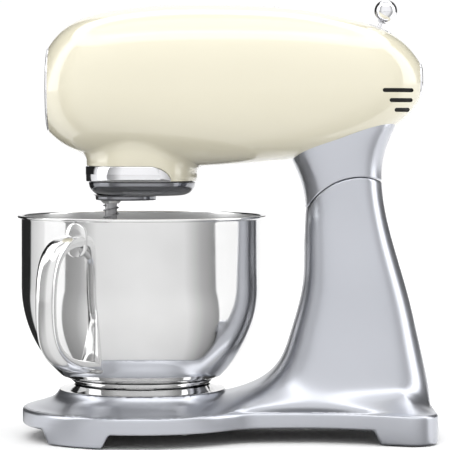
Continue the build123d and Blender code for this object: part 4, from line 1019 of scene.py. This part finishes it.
def rubber_feet():
    """Round feet with a soft lower edge and a shallow suction dish."""
    low, high = low_high("rubber_feet")
    profile = rounded([(0, 1.4, 0), (7.4, 0.9, 1), (8.2, 0.05, 0.5), (10.4, 0.05, 1.0),
                       (11.0, 1.4, 0.5), (11.0, 5.0, 0.3), (0, 5.0, 0)], 5)
    pads = [lathe("foot", profile, RUBBER, 64, centre=(x, side * y, 0))
            for x, y in ((low[0] + 11, 75.0), (high[0] - 11, 61.0)) for side in (-1, 1)]
    return joined("foot_pads", pads)


# ---------------------------------------------------------------- studio
def facing(place, target):
    """Rotation that points an object's -Z at a target."""
    return (Vector(target) - Vector(place)).to_track_quat("-Z", "Y").to_euler()


def area_light(name, place, target, size, power):
    """A soft rectangular light that faces a point."""
    data = bpy.data.lights.new(name, "AREA")
    data.shape = "RECTANGLE"
    data.size, data.size_y = size
    data.energy = power
    light = placed(name, data)
    light.location = place
    light.rotation_euler = facing(place, target)


def value_node(nodes, links, operation, a, b=None):
    """One step of arithmetic on numbers or sockets."""
    node = nodes.new("ShaderNodeMath")
    node.operation = operation
    for k, value in enumerate((a, b)):
        if isinstance(value, (int, float)):
            node.inputs[k].default_value = value
        elif value is not None:
            links.new(value, node.inputs[k])
    return node.outputs[0]


def turn_ramp(nodes, links, split, stops):
    """Brightness by direction round the Z axis, from -180 to 180 degrees, with 0 towards -Y."""
    back = value_node(nodes, links, "MULTIPLY", split.outputs["Y"], -1.0)
    turn = value_node(nodes, links, "ARCTAN2", split.outputs["X"], back)
    share = value_node(nodes, links, "DIVIDE", value_node(nodes, links, "ADD", turn, math.pi), 2 * math.pi)
    ramp = nodes.new("ShaderNodeValToRGB")
    elements = ramp.color_ramp.elements
    while len(elements) < len(stops):
        elements.new(0.5)
    for element, (degrees, value) in zip(elements, stops):
        element.position = (degrees + 180) / 360
        element.color = (value / RAMP_TOP, value / RAMP_TOP, value / RAMP_TOP, 1)
    links.new(share, ramp.inputs["Fac"])
    return value_node(nodes, links, "MULTIPLY", ramp.outputs["Color"], RAMP_TOP)


def blended(nodes, links, factor, a, b):
    """Mix of two values or sockets."""
    mix = nodes.new("ShaderNodeMix")
    for key, value in (("Factor", factor), ("A", a), ("B", b)):
        if isinstance(value, (int, float)):
            mix.inputs[key].default_value = value
        else:
            links.new(value, mix.inputs[key])
    return mix.outputs["Result"]


def directions(nodes, links, output):
    """A coordinate output, split into X, Y and Z."""
    place = nodes.new("ShaderNodeTexCoord")
    split = nodes.new("ShaderNodeSeparateXYZ")
    links.new(place.outputs[output], split.inputs[0])
    return split


def surround():
    """Studio room: walls by direction, a bright ring above, and a plain white view past the mixer."""
    world = bpy.data.worlds.new("studio_world")
    world.use_nodes = True
    nodes, links = world.node_tree.nodes, world.node_tree.links
    split = directions(nodes, links, "Generated")
    walls = turn_ramp(nodes, links, split, WALLS)
    height = split.outputs["Z"]
    ring, roof = (ranged(nodes, links, height, np.sin(np.radians(span)).tolist(), blend="SMOOTHSTEP")
                  for span in (RING_FROM, ROOF_FROM))
    room = blended(nodes, links, roof, blended(nodes, links, ring, walls, RING_LIGHT), ROOF_LIGHT)
    path = nodes.new("ShaderNodeLightPath")
    seen = blended(nodes, links, path.outputs["Is Camera Ray"], room, 1.02)
    links.new(seen, nodes["Background"].inputs["Strength"])
    nodes["Background"].inputs["Color"].default_value = (1, 1, 1, 1)
    return world


def floor_material():
    """Pale floor to the camera. In reflections and bounce light its colour is painted shade, greyer towards
    the front and nearly black in one sector at the back.
    """
    material, nodes, links, shader = new_material("pale_floor", (0.9, 0.9, 0.9), 0.0, 0.7)
    split = directions(nodes, links, "Object")
    # painted shade by direction, used for every ray except the camera's
    tone = turn_ramp(nodes, links, split, FLOOR_PAINTED_SHADE)
    path = nodes.new("ShaderNodeLightPath")
    plain = blended(nodes, links, path.outputs["Is Camera Ray"], tone, 0.97)
    colour = nodes.new("ShaderNodeCombineColor")
    for k in range(3):
        links.new(plain, colour.inputs[k])
    links.new(colour.outputs["Color"], shader.inputs["Base Color"])
    shader.inputs["Specular IOR Level"].default_value = 0.0
    return material


def studio():
    """Pale floor, white room and soft lights."""
    floor_mesh = bpy.data.meshes.new("studio_floor")
    ring = np.linspace(0, 2 * math.pi, 96, endpoint=False)
    edge = [(FLOOR_R * math.cos(a), FLOOR_R * math.sin(a), 0) for a in ring]
    floor_mesh.from_pydata(edge, [], [list(range(96))])
    floor_mesh.materials.append(floor_material())
    floor = placed("studio_floor", floor_mesh)
    bpy.context.scene.world = surround()
    area_light("top", (0.1, -0.3, 1.8), STUDIO_AIM, (1.4, 1.0), 3)


def camera():
    """Long-lens camera above the head's lower edge, looking a little down at the mixer's middle."""
    data = bpy.data.cameras.new("camera")
    data.lens = 200.0
    data.sensor_width = 36.0
    view = placed("camera", data)
    view.location = CAMERA_PLACE
    view.rotation_euler = facing(CAMERA_PLACE, CAMERA_AIM)
    bpy.context.scene.camera = view
    bpy.context.scene.view_settings.view_transform = "Standard"


# ---------------------------------------------------------------- assembly
def assemble():
    """Builds every new piece, and says what it rides on and stands for."""
    knob, rod = lever()
    pieces = [
        (head_casing(), "head", ("head_shell",), "enamel_cream"),
        (drive_housing(), "head", (), "enamel_cream"),
        # black sheets in the vents: painted shade
        (vent_shade_sheets(), "head", (), "black_plastic"),
        (band_piece(), "head", ("hub_band",), "chrome_trim"),
        (speed_strip(), "head", ("speed_scale_strip",), "chrome_trim"),
        (neck(), "head", ("neck_cover",), "satin_silver"),
        (stand(), "stand", ("stand_casting",), "satin_silver"),
        (rubber_feet(), "stand", ("rubber_feet",), "rubber_grey"),
        (seat_ring(), "stand", ("bowl_seat_ring",), "polished_steel"),
        (bowl(), "bowl", ("bowl_shell",), "polished_steel"),
        (bowl_base(), "bowl", ("bowl_foot",), "polished_steel"),
        (handle(), "bowl", ("bowl_handle",), "polished_steel"),
        (planet_cover(), "planetary", ("planet_hub_cover",), "dark_chrome"),
        (tool_shaft(), "tool_drive", ("tool_shaft",), "steel_part"),
        (cross_pin(), "tool_drive", ("tool_pin",), "chrome_trim"),
        (spring(), "tool_drive", ("tool_spring",), "steel_part"),
        (collar(), "tool_drive", ("tool_collar",), "chrome_trim"),
        (front_cap(), "front_cap", ("front_port_cap",), "chrome_trim"),
        (rear_button(), "button", ("release_button",), "chrome_trim"),
        (knob, "speed_lever", ("lever_ball",), "chrome_trim"),
        (rod, "speed_lever", ("lever_stem",), "chrome_trim"),
    ]
    for piece, body, nodes, slot in pieces:
        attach(piece, body)
        if nodes:
            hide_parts(*nodes)


camera()
studio()
finish_cad_nodes()
assemble()
